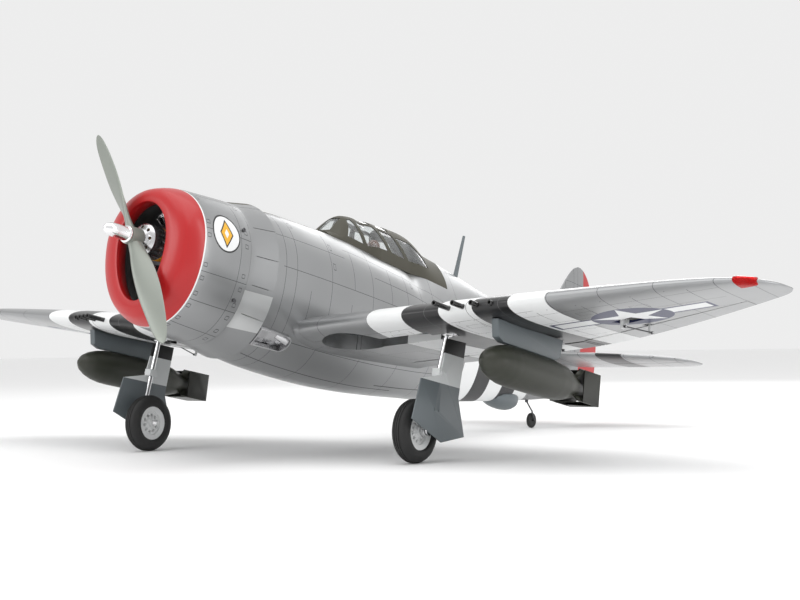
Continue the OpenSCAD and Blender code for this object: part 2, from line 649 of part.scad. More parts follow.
// ---------- fin, rudder, tailplane, elevators ----------

module fin() {
    color("silver") difference() {
        intersection() {
            fin_loft();
            translate([-big, 0, -big]) cube([2 * big, rudder_y - surface_gap, 2 * big]);
        }
        body_loft([for (r = fuselage_rows) if (r[0] >= 1000) r], -seat_gap);
        translate([-20, 1300, -60]) cube([40, 60, 110]);
        rudder_frame() for (z = rudder_hinges) knuckle_notch(z);
    }
    color("silver") rudder_frame() for (z = rudder_hinges) knuckle_fixed(z);
}
rudder_swing = 25;
rudder_hinges = [104, 210];
module rudder_frame() { hinge_frame([0, rudder_y, 0], [0, rudder_y, 1]) children(); }
module rudder() {
    color("red") {
        difference() {
            union() {
                intersection() {
                    fin_loft();
                    rudder_frame() translate([-60, 0, 0]) surface_block(360, rudder_swing + 2, rudder_swing + 2);
                }
                rudder_frame() for (z = rudder_hinges) knuckle_moving(z);
            }
            rudder_frame() for (z = rudder_hinges) knuckle_space(z);
        }
        translate([2, rudder_y + 2, rudder_pin[2] - 1]) cube([rudder_pin[0] + 1, 5, 2]);
        pin_z([rudder_pin[0], rudder_pin[1], rudder_pin[2] - 4], rod_d / 2, 8);
    }
}
module tailplane() {
    color("silver") difference() {
        intersection() {
            tail_loft();
            translate([-big, 0, -big]) cube([2 * big, elevator_y - surface_gap, 2 * big]);
        }
        pin_x([-60, elevator_y, tailplane_z], joiner_r + 1, 120);
        translate([elevator_pin[0] - 2, elevator_y - 9, tailplane_z - 15]) cube([4, 10, 15]);
        translate([-tail_half - 20, elevator_y, tailplane_z]) rotate([0, 90, 0])
            cylinder(r = 1.2, h = 2 * tail_half + 40);
    }
}
elevator_swing = 20;
module elevators() {
    color("silver") {
        for (s = [-1, 1]) mirror_side(s) intersection() {
            tail_loft();
            translate([elevator_x, elevator_y, tailplane_z])
                surface_block(tail_half, elevator_swing + 2, elevator_swing + 2);
        }
        pin_x([-50, elevator_y, tailplane_z], joiner_r, 100);
        translate([elevator_pin[0] - 1, elevator_y + 1, elevator_pin[2] - 2]) cube([2, 5, 16]);
        pin_x([elevator_pin[0] - 4, elevator_pin[1], elevator_pin[2]], rod_d / 2, 8);
    }
}
// Rod with an eye of bore rod_d at its end, along -Y from the eye, the eye's axis along Z
module rod_eye(length) {
    difference() {
        union() {
            translate([0, 0, -1.5]) cylinder(r = rod_d, h = 3);
            pin_y([0, -length, 0], rod_d / 2, length);
        }
        translate([0, 0, -3]) cylinder(r = rod_d / 2 + fit_gap, h = 6);
    }
}
module rudder_rod() {
    color("black") translate(rudder_pin + [0, 0, 2.8]) rod_eye(132);
}
module elevator_rod() {
    color("black") translate(elevator_pin + [-2.8, 0, 0]) rotate([0, 90, 0]) rod_eye(158);
}
module tail_strut() {
    color("dimgray") {
        pin_z([0, tail_axis_y, -76], collar_r, 46);
        rod([0, tail_axis_y, -74], [7.5, 1176, -93], wire_r);
        rod([7.5, 1176, -93], [7.5, tail_wheel_at[1], tail_wheel_at[2]], wire_r);
        translate([7.5, 1176, -93]) sphere(r = wire_r + 0.3);
        pin_x([-7, tail_wheel_at[1], tail_wheel_at[2]], wire_r, 16);
    }
}
module tail_wheel() {
    color("black") translate(tail_wheel_at) rotate([0, 90, 0]) difference() {
        translate([0, 0, -4.5]) rotate_extrude() polygon([
            [0, 0.5], [6, 0.5], [8, 0], [13, 0], [15.4, 1.4], [tail_wheel_d / 2, 4.5], [15.4, 7.6], [13, 9],
            [8, 9], [6, 8.5], [0, 8.5]]);
        translate([0, 0, -10]) cylinder(r = wire_r + fit_gap, h = 20);
    }
}

// ---------- wings ----------

// X at a share of a wing panel's span
function out(share) = stub_x + share * panel_span;
aileron_x = [out(0.482), out(0.9)];
flap_x = [stub_x + 18, out(0.474)];
aileron_p = [aileron_x[0], 561.6];
aileron_q = [aileron_x[1], 449];
flap_p = [flap_x[0], 575];
flap_q = [flap_x[1], 568];
swept_play = 1.6;     // more room at the ends that a slanting hinge line carries sideways
aileron_swing = 22;
flap_swing = 40;
function on_wing(p) = [p[0], p[1], wing_mid(p[0], p[1])];
module aileron_frame() { hinge_frame(on_wing(aileron_p), on_wing(aileron_q)) children(); }
module flap_frame() { hinge_frame(on_wing(flap_p), on_wing(flap_q)) children(); }
module plan_strip(x0, x1) { translate([x0, 0, -big]) cube([x1 - x0, 2 * big, 2 * big]); }
aileron_hinges = [30, 0.72 * (aileron_x[1] - aileron_x[0])];
flap_hinges = [40, 0.7 * (flap_x[1] - flap_x[0])];
// Horn and arm sizes, and where along each hinge they stand
horn_r = 20;
aileron_horn_x = 0.45 * (aileron_x[1] - aileron_x[0]);
flap_horn_x = flap_x[1] - flap_x[0] - 42;
arm_back = 56;
wheel_up = [gear_pivot[0] - 159.5, wheel_centre[1]];
guns_x = [372, 396, 420, 444];
pylon_x = 434.7;
light_x = out(0.948);

module wing_panel() {
    difference() {
        intersection() {
            wing_loft();
            plan_strip(stub_x + seat_gap, 900);
        }
        // control surfaces and their linkages
        intersection() {
            aileron_frame() translate([-60, 0, 0]) surface_slot(440);
            plan_strip(aileron_x[0] - surface_gap, aileron_x[1] + surface_gap);
        }
        intersection() {
            flap_frame() translate([-30, 0, 0]) surface_slot(400);
            plan_strip(flap_x[0] - surface_gap, flap_x[1] + surface_gap);
        }
        aileron_frame() translate([aileron_horn_x - 5, -arm_back - 15, -40]) cube([40, 30, 46]);
        flap_frame() translate([flap_horn_x + 1, -96, -40]) cube([8, 78, 44]);
        // room for the horns and the hinges, and the body's own side
        aileron_frame() translate([aileron_horn_x - 3, -12, -40]) cube([12, 14, 44]);
        flap_frame() translate([flap_horn_x - 3, -20, -40]) cube([12, 22, 44]);
        aileron_frame() for (x = aileron_hinges) knuckle_notch(x);
        flap_frame() for (x = flap_hinges) knuckle_notch(x);
        body_loft([for (r = fuselage_rows) if (r[0] > 200 && r[0] < 800) r], -seat_gap);
        // joining tube, wheel well, strut bay and gun ports
        pin_x([0, tube_y, tube_z], tube_r + fit_gap, tube_half + 1);
        for (grow = [0, 1]) intersection() {
            if (grow == 0) wing_loft(-wing_skin - 0.6);
            else translate([0, 0, -200]) cube([900, 900, 200 + root_z + 6]);
            union() {
                pin_z([wheel_up[0], wheel_up[1], -140], wheel_d / 2 + 3.5, 120);
                translate([wheel_up[0], 350, -140]) cube([296 - wheel_up[0], 50, 120]);
                translate([290, gear_pivot[1] - cheek_in - cheek_t - seat_gap, -140])
                    cube([42, 2 * (cheek_in + cheek_t + seat_gap), 120]);
            }
        }
        for (x = guns_x) pin_y([x, 200, chord_z(x) + 1], gun_r + seat_gap, 110);
    }
    aileron_frame() for (x = aileron_hinges) knuckle_fixed(x);
    flap_frame() for (x = flap_hinges) knuckle_fixed(x);
}
module wing_left() { color("silver") wing_panel(); }
module wing_right() { color("silver") mirror_side(-1) wing_panel(); }
module wing_tube() {
    color("dimgray") difference() {
        pin_x([-tube_half, tube_y, tube_z], tube_r, 2 * tube_half);
        pin_x([-tube_half - 1, tube_y, tube_z], tube_r - 1.5, 2 * tube_half + 2);
    }
}
gun_r = 4;
module gun_barrels() {
    color("black") for (s = [-1, 1], i = [0:3]) mirror_side(s) difference() {
        x = guns_x[i];
        nose = rib_at(x)[1] - gun_l + 11 * i;
        pin_y([x, nose, chord_z(x) + 1], gun_r, 310 - seat_gap - nose);
        pin_y([x, nose - 1, chord_z(x) + 1], 2.4, 14);
    }
}
module nav_light() {
    intersection() {
        difference() {
            wing_loft(2.2);
            wing_loft(seat_gap);
        }
        pin_y([light_x, 280, chord_z(light_x) + 1], 13, 82);
    }
}
module nav_light_left() { color("red") nav_light(); }
module nav_light_right() { color("green") mirror_side(-1) nav_light(); }

module horn(x) {
    // a plate below the hinge line with the pushrod's pin
    translate([x - 1.5, 1, -horn_r - 3]) cube([3, 6, horn_r]);
    pin_x([x - 1.5, 3, -horn_r], rod_d / 2, 9);
}
module aileron() {
    difference() {
        union() {
            intersection() {
                wing_loft();
                aileron_frame() translate([-60, 0, 0]) surface_block(440, aileron_swing + 2, aileron_swing + 2);
                plan_strip(aileron_x[0] + swept_play, aileron_x[1]);
            }
            aileron_frame() for (x = aileron_hinges) knuckle_moving(x);
        }
        aileron_frame() for (x = aileron_hinges) knuckle_space(x);
    }
    aileron_frame() horn(aileron_horn_x);
}
module aileron_left() { color("silver") aileron(); }
module aileron_right() { color("silver") mirror_side(-1) aileron(); }
module flap() {
    difference() {
        union() {
            intersection() {
                wing_loft();
                flap_frame() translate([-30, 0, 0]) surface_block(400, 4, flap_swing + 2);
                plan_strip(flap_x[0], flap_x[1] - swept_play);
            }
            flap_frame() for (x = flap_hinges) knuckle_moving(x);
        }
        flap_frame() for (x = flap_hinges) knuckle_space(x);
    }
    flap_frame() horn(flap_horn_x);
}
module flap_left() { color("silver") flap(); }
module flap_right() { color("silver") mirror_side(-1) flap(); }
module wing_servos() {
    color("black") for (s = [-1, 1]) mirror_side(s) aileron_frame() {
        translate([aileron_horn_x + 8.3, -arm_back - 14.7, -9.5]) cube([26.4, 29.4, 15.2]);
        pin_x([aileron_horn_x - 2, -arm_back, 0], 2.5, 10.5);
    }
}
module aileron_arm() {
    aileron_frame() translate([aileron_horn_x, -arm_back, 0]) difference() {
        union() {
            pin_x([-1.5, 0, 0], 4.5, 3);
            translate([-1.5, -1.5, -horn_r - 3]) cube([3, 7, horn_r + 3]);
            pin_x([-1.5, 3, -horn_r], rod_d / 2, 9);
        }
        pin_x([-3, 0, 0], 2.5 + fit_gap, 6);
    }
}
module aileron_arm_left() { color("ivory") aileron_arm(); }
module aileron_arm_right() { color("ivory") mirror_side(-1) aileron_arm(); }
// Pushrod beside a horn, its forward end moved by `drop` in height
module wing_rod(x, length, drop, second_eye) {
    translate([x + 3, 3, -horn_r]) difference() {
        union() {
            pin_x([0, 0, 0], rod_d, 3.4);
            rod([1.7, 0, 0], [1.7, -length, drop], rod_d / 2);
            if (second_eye) pin_x([0, -length, drop], rod_d, 3.4);
        }
        pin_x([-1, 0, 0], rod_d / 2 + fit_gap, 6);
        if (second_eye) pin_x([-1, -length, drop], rod_d / 2 + fit_gap, 6);
    }
}
module aileron_rod() { aileron_frame() wing_rod(aileron_horn_x, arm_back, 0, true); }
module aileron_rod_left() { color("black") aileron_rod(); }
module aileron_rod_right() { color("black") mirror_side(-1) aileron_rod(); }
module flap_rod() { flap_frame() wing_rod(flap_horn_x, 75, 14, false); }
module flap_rod_left() { color("black") flap_rod(); }
module flap_rod_right() { color("black") mirror_side(-1) flap_rod(); }

// ---------- stores ----------

bomb_z = -133;
bomb_nose = 300;
module pylons() {
    color("gray") for (s = [-1, 1]) mirror_side(s) translate([pylon_x, 0, 0]) difference() {
        side_prism(-6, 6, [[322, -60], [330, -96], [345, bomb_z + bomb_r + seat_gap], [500, bomb_z + bomb_r + seat_gap],
            [516, -96], [522, -60]]);
        translate([-pylon_x, 0, 0]) wing_loft(seat_gap);
        side_prism(-7, 7, [[300, -70], [300, 0], [560, 0], [560, -66]]);
    }
}
module bombs() {
    color("darkolivegreen") for (s = [-1, 1]) mirror_side(s) translate([pylon_x, bomb_nose, bomb_z]) rotate([-90, 0, 0]) {
        rotate_extrude() polygon(concat([[0, 0]], [for (k = [1:6]) [bomb_r * sin(15 * k), 78 - 74 * cos(15 * k)]],
            [[bomb_r, 190], [bomb_r * 0.9, 226], [bomb_r * 0.62, 262], [bomb_r * 0.3, 300], [0, 300]]));
        for (a = [45, 135]) rotate([0, 0, a]) translate([-36, -0.8, 246]) cube([72, 1.6, 70]);
        rotate([0, 0, 0]) difference() {
            translate([-26, -26, 262]) cube([52, 52, 54]);
            translate([-24.6, -24.6, 261]) cube([49.2, 49.2, 56]);
        }
    }
}

// ---------- main gear ----------

module retract_frames() {
    color("silver") for (s = [-1, 1]) mirror_side(s) translate(gear_pivot) difference() {
        union() {
            for (e = [-1, 1]) translate([-12, e * (cheek_in + cheek_t / 2) - cheek_t / 2, -3.6]) cube([24, cheek_t, 24]);
            translate([-12, -cheek_in - cheek_t, 14]) cube([24, 2 * (cheek_in + cheek_t), 6.4]);
        }
        pin_y([0, -20, 0], pivot_r + fit_gap, 40);
    }
}
module strut() {
    pin_y(gear_pivot - [0, cheek_in - 0.2, 0], 6.5, 2 * cheek_in - 0.4);
    pin_y(gear_pivot - [0, cheek_in + cheek_t, 0], pivot_r, 2 * (cheek_in + cheek_t));
    rod(gear_pivot, strut_foot, strut_r);
    pin_x(strut_foot - [6, 0, 0], 7, 12);
    pin_x(strut_foot - [strut_foot[0] - wheel_centre[0] + hub_half + 3, 0, 0], axle_r, 30);
    pin_x(strut_foot - [strut_foot[0] - wheel_centre[0] + hub_half + 4, 0, 0], 5, 3.5);
}
module strut_left() { color("silver") strut(); }
module strut_right() { color("silver") mirror_side(-1) strut(); }
module gear_door() {
    side_prism(door_x, door_x + door_t, [[373, -89], [424, -87], [416, -176], [441, -233], [380, -249], [298, -223],
        [312, -160], [362, -148]]);
    // clamps round the strut and their screws
    for (d = [66, 126]) difference() {
        p = gear_pivot + d * strut_way;
        translate([p[0] - strut_r - 2, p[1] - 9, p[2] - 6]) cube([door_x - p[0] + strut_r + 2.5, 18, 12]);
        rod(gear_pivot, strut_foot, strut_r + fit_gap);
    }
    for (d = [66, 126], e = [-5.5, 5.5]) let(p = gear_pivot + d * strut_way)
        pin_x([door_x + door_t - 0.5, p[1] + e, p[2]], 2, 1.5);
}
module gear_door_left() { color("gainsboro") gear_door(); }
module gear_door_right() { color("gainsboro") mirror_side(-1) gear_door(); }
module wheel_spin() { translate(wheel_centre) rotate([0, 90, 0]) children(); }
rim_r = 27;
module hub() {
    wheel_spin() difference() {
        rotate_extrude() polygon([
            [0, -hub_half], [7, -hub_half], [7, -7], [21, -5], [21, -9], [rim_r + 2, -10.5], [rim_r, -7], [rim_r, 7],
            [rim_r + 2, 10.5], [21, 9], [21, 5], [7, 7], [7, hub_half], [0, hub_half]]);
        translate([0, 0, -20]) cylinder(r = axle_r + fit_gap, h = 40);
        for (a = [0:36:324]) rotate([0, 0, a]) translate([14.5, 0, -20]) cylinder(r = 3, h = 40);
    }
}
module hub_left() { color("white") hub(); }
module hub_right() { color("white") mirror_side(-1) hub(); }
module tyre() {
    w = tyre_w / 2;
    r = wheel_d / 2;
    wheel_spin() rotate_extrude() polygon([
        [rim_r + seat_gap, -7], [rim_r + 2 + seat_gap, -11], [rim_r + 4, -w + 1], [rim_r + 8, -w], [r - 9, -w + 1],
        [r - 3, -w + 5], [r - 0.6, -w + 10], [r, 0], [r - 0.6, w - 10], [r - 3, w - 5], [r - 9, w - 1],
        [rim_r + 8, w], [rim_r + 4, w - 1], [rim_r + 2 + seat_gap, 11], [rim_r + seat_gap, 7]]);
}
module tyre_left() { color("black") tyre(); }
module tyre_right() { color("black") mirror_side(-1) tyre(); }

// ---------- stance ----------

// How far the propeller's centre is above the ground, and the middle of the length on the ground
hub_h = wheel_d / 2 - (-wheel_centre[1] * sin(ground_angle) + wheel_centre[2] * cos(ground_angle));
front_y = -(11 + seat_gap + spinner_l) * cos(ground_angle);
rear_y = fin_rows[1][2] * cos(ground_angle) + fin_rows[1][0] * sin(ground_angle);
module on_wheels() {
    translate([0, -(front_y + rear_y) / 2, hub_h]) rotate([-ground_angle, 0, 0]) children();
}

on_wheels() fuselage_shell();
on_wheels() engine_cowl();
on_wheels() cowl_flaps();
on_wheels() firewall();
on_wheels() motor_mount();
on_wheels() motor_stator();
on_wheels() dummy_crankcase();
on_wheels() dummy_cylinders();
on_wheels() battery_pack();
on_wheels() speed_controller();
on_wheels() equipment_tray();
on_wheels() receiver();
on_wheels() tail_servos();
on_wheels() fin();
on_wheels() tailplane();
on_wheels() antenna_mast();
on_wheels() turbo_fairing();
on_wheels() exhaust_outlets();
on_wheels() wing_left();
on_wheels() wing_right();
on_wheels() wing_tube();
on_wheels() gun_barrels();
on_wheels() nav_light_left();
on_wheels() nav_light_right();
on_wheels() pylons();
on_wheels() bombs();
on_wheels() wing_servos();
on_wheels() retract_frames();
on_wheels() fasteners();
on_wheels() canopy_frame();
on_wheels() canopy_glazing();
on_wheels() cockpit_tub();
on_wheels() pilot_figure();
on_wheels() propeller();
on_wheels() spinner_nut();
on_wheels() motor_bell();
on_wheels() aileron_left();
on_wheels() aileron_right();
on_wheels() flap_left();
on_wheels() flap_right();
on_wheels() elevators();
on_wheels() rudder();
on_wheels() strut_left();
on_wheels() strut_right();
on_wheels() gear_door_left();
on_wheels() gear_door_right();
on_wheels() hub_left();
on_wheels() hub_right();
on_wheels() tyre_left();
on_wheels() tyre_right();
on_wheels() tail_strut();
on_wheels() tail_wheel();
on_wheels() aileron_arm_left();
on_wheels() aileron_arm_right();
on_wheels() aileron_rod_left();
on_wheels() aileron_rod_right();
on_wheels() flap_rod_left();
on_wheels() flap_rod_right();
on_wheels() rudder_rod();
on_wheels() elevator_rod();
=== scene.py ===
import json
from math import atan2, cos, hypot, pi, radians, sin, sqrt, tan

import bmesh
import bpy
from mathutils import Matrix, Vector

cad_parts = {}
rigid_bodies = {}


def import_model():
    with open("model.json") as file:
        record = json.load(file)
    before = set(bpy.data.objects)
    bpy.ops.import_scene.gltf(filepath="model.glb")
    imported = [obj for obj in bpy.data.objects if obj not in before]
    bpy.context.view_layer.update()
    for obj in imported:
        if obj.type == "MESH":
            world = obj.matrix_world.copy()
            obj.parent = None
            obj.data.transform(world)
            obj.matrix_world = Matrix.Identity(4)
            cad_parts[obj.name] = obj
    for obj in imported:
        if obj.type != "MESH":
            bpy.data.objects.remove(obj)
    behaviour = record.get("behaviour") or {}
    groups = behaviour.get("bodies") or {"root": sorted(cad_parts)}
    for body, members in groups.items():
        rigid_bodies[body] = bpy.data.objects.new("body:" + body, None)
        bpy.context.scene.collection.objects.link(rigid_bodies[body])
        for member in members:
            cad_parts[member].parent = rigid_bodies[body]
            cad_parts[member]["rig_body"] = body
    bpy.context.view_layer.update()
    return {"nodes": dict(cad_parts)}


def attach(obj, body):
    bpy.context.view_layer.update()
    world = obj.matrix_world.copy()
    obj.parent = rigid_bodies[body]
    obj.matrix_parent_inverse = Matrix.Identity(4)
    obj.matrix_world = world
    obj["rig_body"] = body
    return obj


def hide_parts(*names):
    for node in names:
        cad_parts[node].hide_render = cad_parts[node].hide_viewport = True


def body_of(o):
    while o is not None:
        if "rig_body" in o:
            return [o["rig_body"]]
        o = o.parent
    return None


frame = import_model()

# The model is drawn level, in millimetres, with the propeller's centre at the origin, the nose
# towards -Y and the left wing towards +X. set_down puts it on its wheels, in metres.
NOSE_UP = radians(10.7)
HUB_H = 346.046
MIDDLE = 695.054
set_down = (Matrix.Scale(0.001, 4) @ Matrix.Translation((0, -MIDDLE, HUB_H))
            @ Matrix.Rotation(-NOSE_UP, 4, "X"))


# ---------- camera, floor and lights ----------

def aim_camera():
    cam = bpy.data.cameras.new("view_camera")
    cam.lens = 61.57
    cam.sensor_width = 36
    cam.clip_end = 50
    ob = bpy.data.objects.new("view_camera", cam)
    bpy.context.collection.objects.link(ob)
    yaw, pitch, roll = radians(35.76), radians(1.97), radians(-0.81)
    ahead = Vector((-sin(yaw) * cos(pitch), cos(yaw) * cos(pitch), sin(pitch)))
    right = ahead.cross(Vector((0, 0, 1))).normalized()
    up = right.cross(ahead)
    right, up = right * cos(roll) + up * sin(roll), up * cos(roll) - right * sin(roll)
    turn = Matrix((right, up, -ahead)).transposed().to_4x4()
    ob.matrix_world = Matrix.Translation((1.49495, -1.40426 - MIDDLE / 1000, 0.17713)) @ turn
    bpy.context.scene.camera = ob


def lay_floor():
    bm = bmesh.new()
    bmesh.ops.create_grid(bm, x_segments=1, y_segments=1, size=30)
    mesh = bpy.data.meshes.new("floor")
    bm.to_mesh(mesh)
    ob = bpy.data.objects.new("floor", mesh)
    bpy.context.collection.objects.link(ob)
    mat = bpy.data.materials.new("floor_paper")
    mat.use_nodes = True
    p = mat.node_tree.nodes["Principled BSDF"]
    p.inputs["Base Color"].default_value = (0.93, 0.93, 0.93, 1)
    p.inputs["Roughness"].default_value = 0.8
    p.inputs["Specular IOR Level"].default_value = 0.2
    mesh.materials.append(mat)


def light(name, place, target, size, watts):
    lamp = bpy.data.lights.new(name, "AREA")
    lamp.shape = "RECTANGLE"
    lamp.size, lamp.size_y = size
    lamp.energy = watts
    ob = bpy.data.objects.new(name, lamp)
    bpy.context.collection.objects.link(ob)
    way = Vector(target) - Vector(place)
    ob.matrix_world = Matrix.Translation(place) @ way.to_track_quat("-Z", "Y").to_matrix().to_4x4()


def light_studio():
    world = bpy.data.worlds.new("studio")
    bpy.context.scene.world = world
    world.use_nodes = True
    world.node_tree.nodes["Background"].inputs["Color"].default_value = (1, 1, 1, 1)
    world.node_tree.nodes["Background"].inputs["Strength"].default_value = 0.85
    light("overhead_box", (0.3, -0.6, 3.2), (0, 0, 0.2), (3.4, 3.4), 44)
    light("left_strip", (3.0, 0.4, 1.6), (0, -0.2, 0.3), (0.7, 3.0), 26)
    light("nose_box", (-1.2, -3.4, 1.5), (0, -0.5, 0.3), (2.0, 1.2), 22)
    light("tail_box", (-1.0, 3.2, 1.8), (0, 0.5, 0.3), (2.0, 1.2), 22)


aim_camera()
lay_floor()
light_studio()
bpy.context.scene.view_settings.view_transform = "Standard"


# ---------- smooth tables and lofts ----------

def smooth_rows(rows, steps):
    out = []
    last = len(rows) - 1
    for i in range(last):
        a, b, c, d = rows[max(i - 1, 0)], rows[i], rows[i + 1], rows[min(i + 2, last)]
        for k in range(steps):
            t = k / steps
            out.append([0.5 * (2 * q + (r - p) * t + (2 * p - 5 * q + 4 * r - s) * t * t
                               + (3 * q - p - 3 * r + s) * t ** 3) for p, q, r, s in zip(a, b, c, d)])
    return out + [list(rows[-1])]


def row_at(rows, v):
    i = 0
    while i < len(rows) - 2 and v > rows[i + 1][0]:
        i += 1
    a, b = rows[i], rows[i + 1]
    t = (v - a[0]) / (b[0] - a[0])
    return [p + (q - p) * t for p, q in zip(a, b)]


def ring(bm, points):
    verts = [bm.verts.new(p) for p in points]
    return [bm.edges.new((v, verts[(i + 1) % len(verts)])) for i, v in enumerate(verts)]


def loft(bm, rings, caps=True, closed=False):
    loops = [ring(bm, r) for r in rings]
    pairs = list(zip(loops, loops[1:])) + ([(loops[-1], loops[0])] if closed else [])
    for a, b in pairs:
        bmesh.ops.bridge_loops(bm, edges=a + b)
    if caps and not closed:
        for loop in (loops[0], loops[-1]):
            bmesh.ops.contextual_create(bm, geom=loop)
    return bm


def signed_power(v, n):
    return (1 if v >= 0 else -1) * abs(v) ** n


# rows: y, half width, top, bottom, height of the widest point, roundness above and below it
HULL = [
    [160, 90, 86, -124, -8, 2.1, 2.15], [192, 94, 94, -135, -8, 2.1, 2.15],
    [206, 97, 99, -141, -8, 2.1, 2.15], [262, 99.5, 105, -149, -11, 2.1, 2.15],
    [340, 100, 107.5, -153.5, -14, 2.1, 2.15], [430, 98, 109, -155, -16, 2.1, 2.15],
    [520, 94, 104, -152, -16, 2.1, 2.15], [600, 88.5, 101, -146, -15, 2.05, 2.1],
    [650, 84, 104, -141.5, -14, 1.8, 2.1], [705, 77.5, 141, -136, -12, 1.4, 2.1],
    [760, 70.5, 140, -131, -9, 1.35, 2.1], [848, 59, 130.5, -120.5, -4, 1.35, 2.1],
    [930, 50, 121, -108.5, 0, 1.42, 2.1], [1020, 41.5, 109, -94.5, 5, 1.5, 2.1],
    [1110, 33.5, 97, -80, 9, 1.62, 2.1], [1200, 25.5, 85, -64.5, 12, 1.8, 2.1],
    [1290, 17.5, 72, -47, 14, 1.9, 2.1], [1366, 9.5, 60, -31, 15, 2, 2.1]]
COWL = [
    [17, 53, 61, -96, -4, 2, 1.95], [17.6, 63, 68, -104, -4, 2, 2], [22, 77, 76, -112, -4, 2, 2.05],
    [30, 87.5, 81.5, -118.5, -5, 2.05, 2.1], [52, 97, 87.5, -126, -6, 2.1, 2.15],
    [90, 100, 91, -130.5, -7, 2.1, 2.15], [130, 100.5, 94, -134, -7, 2.1, 2.15],
    [150, 100, 95.5, -136, -8, 2.1, 2.15]]
COWL_IN = [
    [17.5, 50.5, 58.5, -93.5, -4, 2, 1.95], [26, 50, 58, -93, -4, 2, 1.95], [44, 60, 62, -101, -4, 2, 1.95],
    [70, 84, 78, -116, -6, 2.05, 2.05], [100, 97.8, 89.3, -128.8, -7, 2.1, 2.15],
    [149.8, 97.8, 93.3, -133.8, -8, 2.1, 2.15]]


def body_ring(row, inset=0.0, count=96):
    y, w, top, low, mid, n_up, n_low = row
    points = []
    for i in range(count):
        a = 2 * pi * i / count
        up = sin(a) >= -1e-9
        n = n_up if up else n_low
        h = (top - mid if up else mid - low) - inset
        points.append(((w - inset) * signed_power(cos(a), 2 / n), y, mid + h * signed_power(sin(a), 2 / n)))
    return points


def side_at(rows, y, z, inset=0.0):
    _, w, top, low, mid, n_up, n_low = row_at(rows, y)
    up = z >= mid
    n = n_up if up else n_low
    h = (top - mid if up else mid - low) - inset
    return (w - inset) * max(0.0, 1 - (abs(z - mid) / h) ** n) ** (1 / n)


# rows: share of a panel's span, leading edge, trailing edge, thickness as a share of the chord
SPAN, STUB, DIHEDRAL, ROOT_Y, ROOT_Z = 1690, 94, radians(4.9), 283, -84
WING = [
    [0, ROOT_Y, 652, 0.14], [0.14, ROOT_Y + 3, 652, 0.137], [0.31, ROOT_Y + 7, 648, 0.132],
    [0.47, ROOT_Y + 12, 635, 0.126], [0.6, ROOT_Y + 17, 602, 0.121], [0.71, ROOT_Y + 22, 563, 0.116],
    [0.81, ROOT_Y + 29, 523, 0.111], [0.885, ROOT_Y + 40, 490, 0.106], [0.935, ROOT_Y + 55, 467, 0.1],
    [0.97, ROOT_Y + 77, 450, 0.094], [0.989, ROOT_Y + 101, 437, 0.088], [1, ROOT_Y + 128, 421, 0.08]]
PANEL = SPAN / 2 - STUB
CAMBER, TE_HALF = 0.02, 0.5


def chord_z(x):
    return ROOT_Z + (x - STUB) * tan(DIHEDRAL)


def camber_at(s):
    return CAMBER / 0.16 * (0.8 * s - s * s) if s < 0.4 else CAMBER / 0.36 * (0.2 + 0.8 * s - s * s)


def half_thick(s, t):
    return 5 * t * (0.2969 * sqrt(s) - 0.126 * s - 0.3516 * s ** 2 + 0.2843 * s ** 3 - 0.1015 * s ** 4)


def skin_z(s, chord, t, side, cam=1):
    return cam * chord * camber_at(s) + side * (chord * half_thick(s, t) + TE_HALF * s)


def section(row, place, cam=1, grow=0.0, steps=26):
    # closed airfoil from the trailing edge over the top and back below; place(y, z) gives a point
    _, le, te, t = row
    c = te - le
    shares = [(1 - cos(pi * k / steps)) / 2 for k in range(steps + 1)]
    top = [place(le - grow + s * (c + 2 * grow), skin_z(s, c, t, 1, cam) + grow) for s in reversed(shares)]
    low = [place(le - grow + s * (c + 2 * grow), skin_z(s, c, t, -1, cam) - grow) for s in shares[1:]]
    return top + low


def rib(x, row, grow=0.0):
    return section(row, lambda y, z: (x, y, chord_z(x) + z), grow=grow)


def wing_rings(grow=0.0, steps=5):
    return [rib(STUB + r[0] * PANEL, r, grow) for r in smooth_rows(WING, steps)]


def wing_z(x, y, side):
    _, le, te, t = row_at(WING, (x - STUB) / PANEL)
    return chord_z(x) + skin_z((y - le) / (te - le), te - le, t, side)


def wing_mid(x, y):
    return (wing_z(x, y, 1) + wing_z(x, y, -1)) / 2


def hinge_frame(p, q):
    # local X along the hinge from p to q, Y aft, Z up, as a matrix in the level frame
    p, q = Vector((*p, wing_mid(*p))), Vector((*q, wing_mid(*q)))
    d = q - p
    return (Matrix.Translation(p) @ Matrix.Rotation(atan2(d.y, d.x), 4, "Z")
            @ Matrix.Rotation(-atan2(d.z, hypot(d.x, d.y)), 4, "Y"))


def out_at(share):
    return STUB + share * PANEL


AILERON_X, FLAP_X = (out_at(0.482), out_at(0.9)), (STUB + 18, out_at(0.474))
AILERON = hinge_frame((AILERON_X[0], 561.6), (AILERON_X[1], 449))
FLAP = hinge_frame((FLAP_X[0], 575), (FLAP_X[1], 568))

# Shared sizes and places, in level millimetres; RAIL is the hatch's lower edge as (y, z)
RAIL = [[400, 100], [426, 98.5], [520, 96], [538, 88], [640, 87], [771, 85]]
FAR = 400                                   # beyond anything that a block cuts
COWL_END, PETAL_END, FAIRING_END, SHELL_T = 150, 208, 1200, 2.4
PETALS, PETAL_MID_Z, FLARE, EXHAUST_Y = 14, -20, 5, 243
GAP, SWEPT_PLAY = 0.8, 1.6                  # round each surface, and more at its slanting end
PIN_R, KNUCKLE_R, KNUCKLE_W, FIT = 1, 2.2, 3.6, 0.05
TAB_W, TAB_T, TAB_BACK = 3.6, 1.6, 5.2
AILERON_SWING, FLAP_SWING, RUDDER_SWING, ELEVATOR_SWING = 24, 42, 27, 22
HORN_R, ARM_BACK = 20, 56
AILERON_HORN = 0.45 * (AILERON_X[1] - AILERON_X[0])
FLAP_HORN = FLAP_X[1] - FLAP_X[0] - 42
AILERON_HINGES = (30, 0.72 * (AILERON_X[1] - AILERON_X[0]))
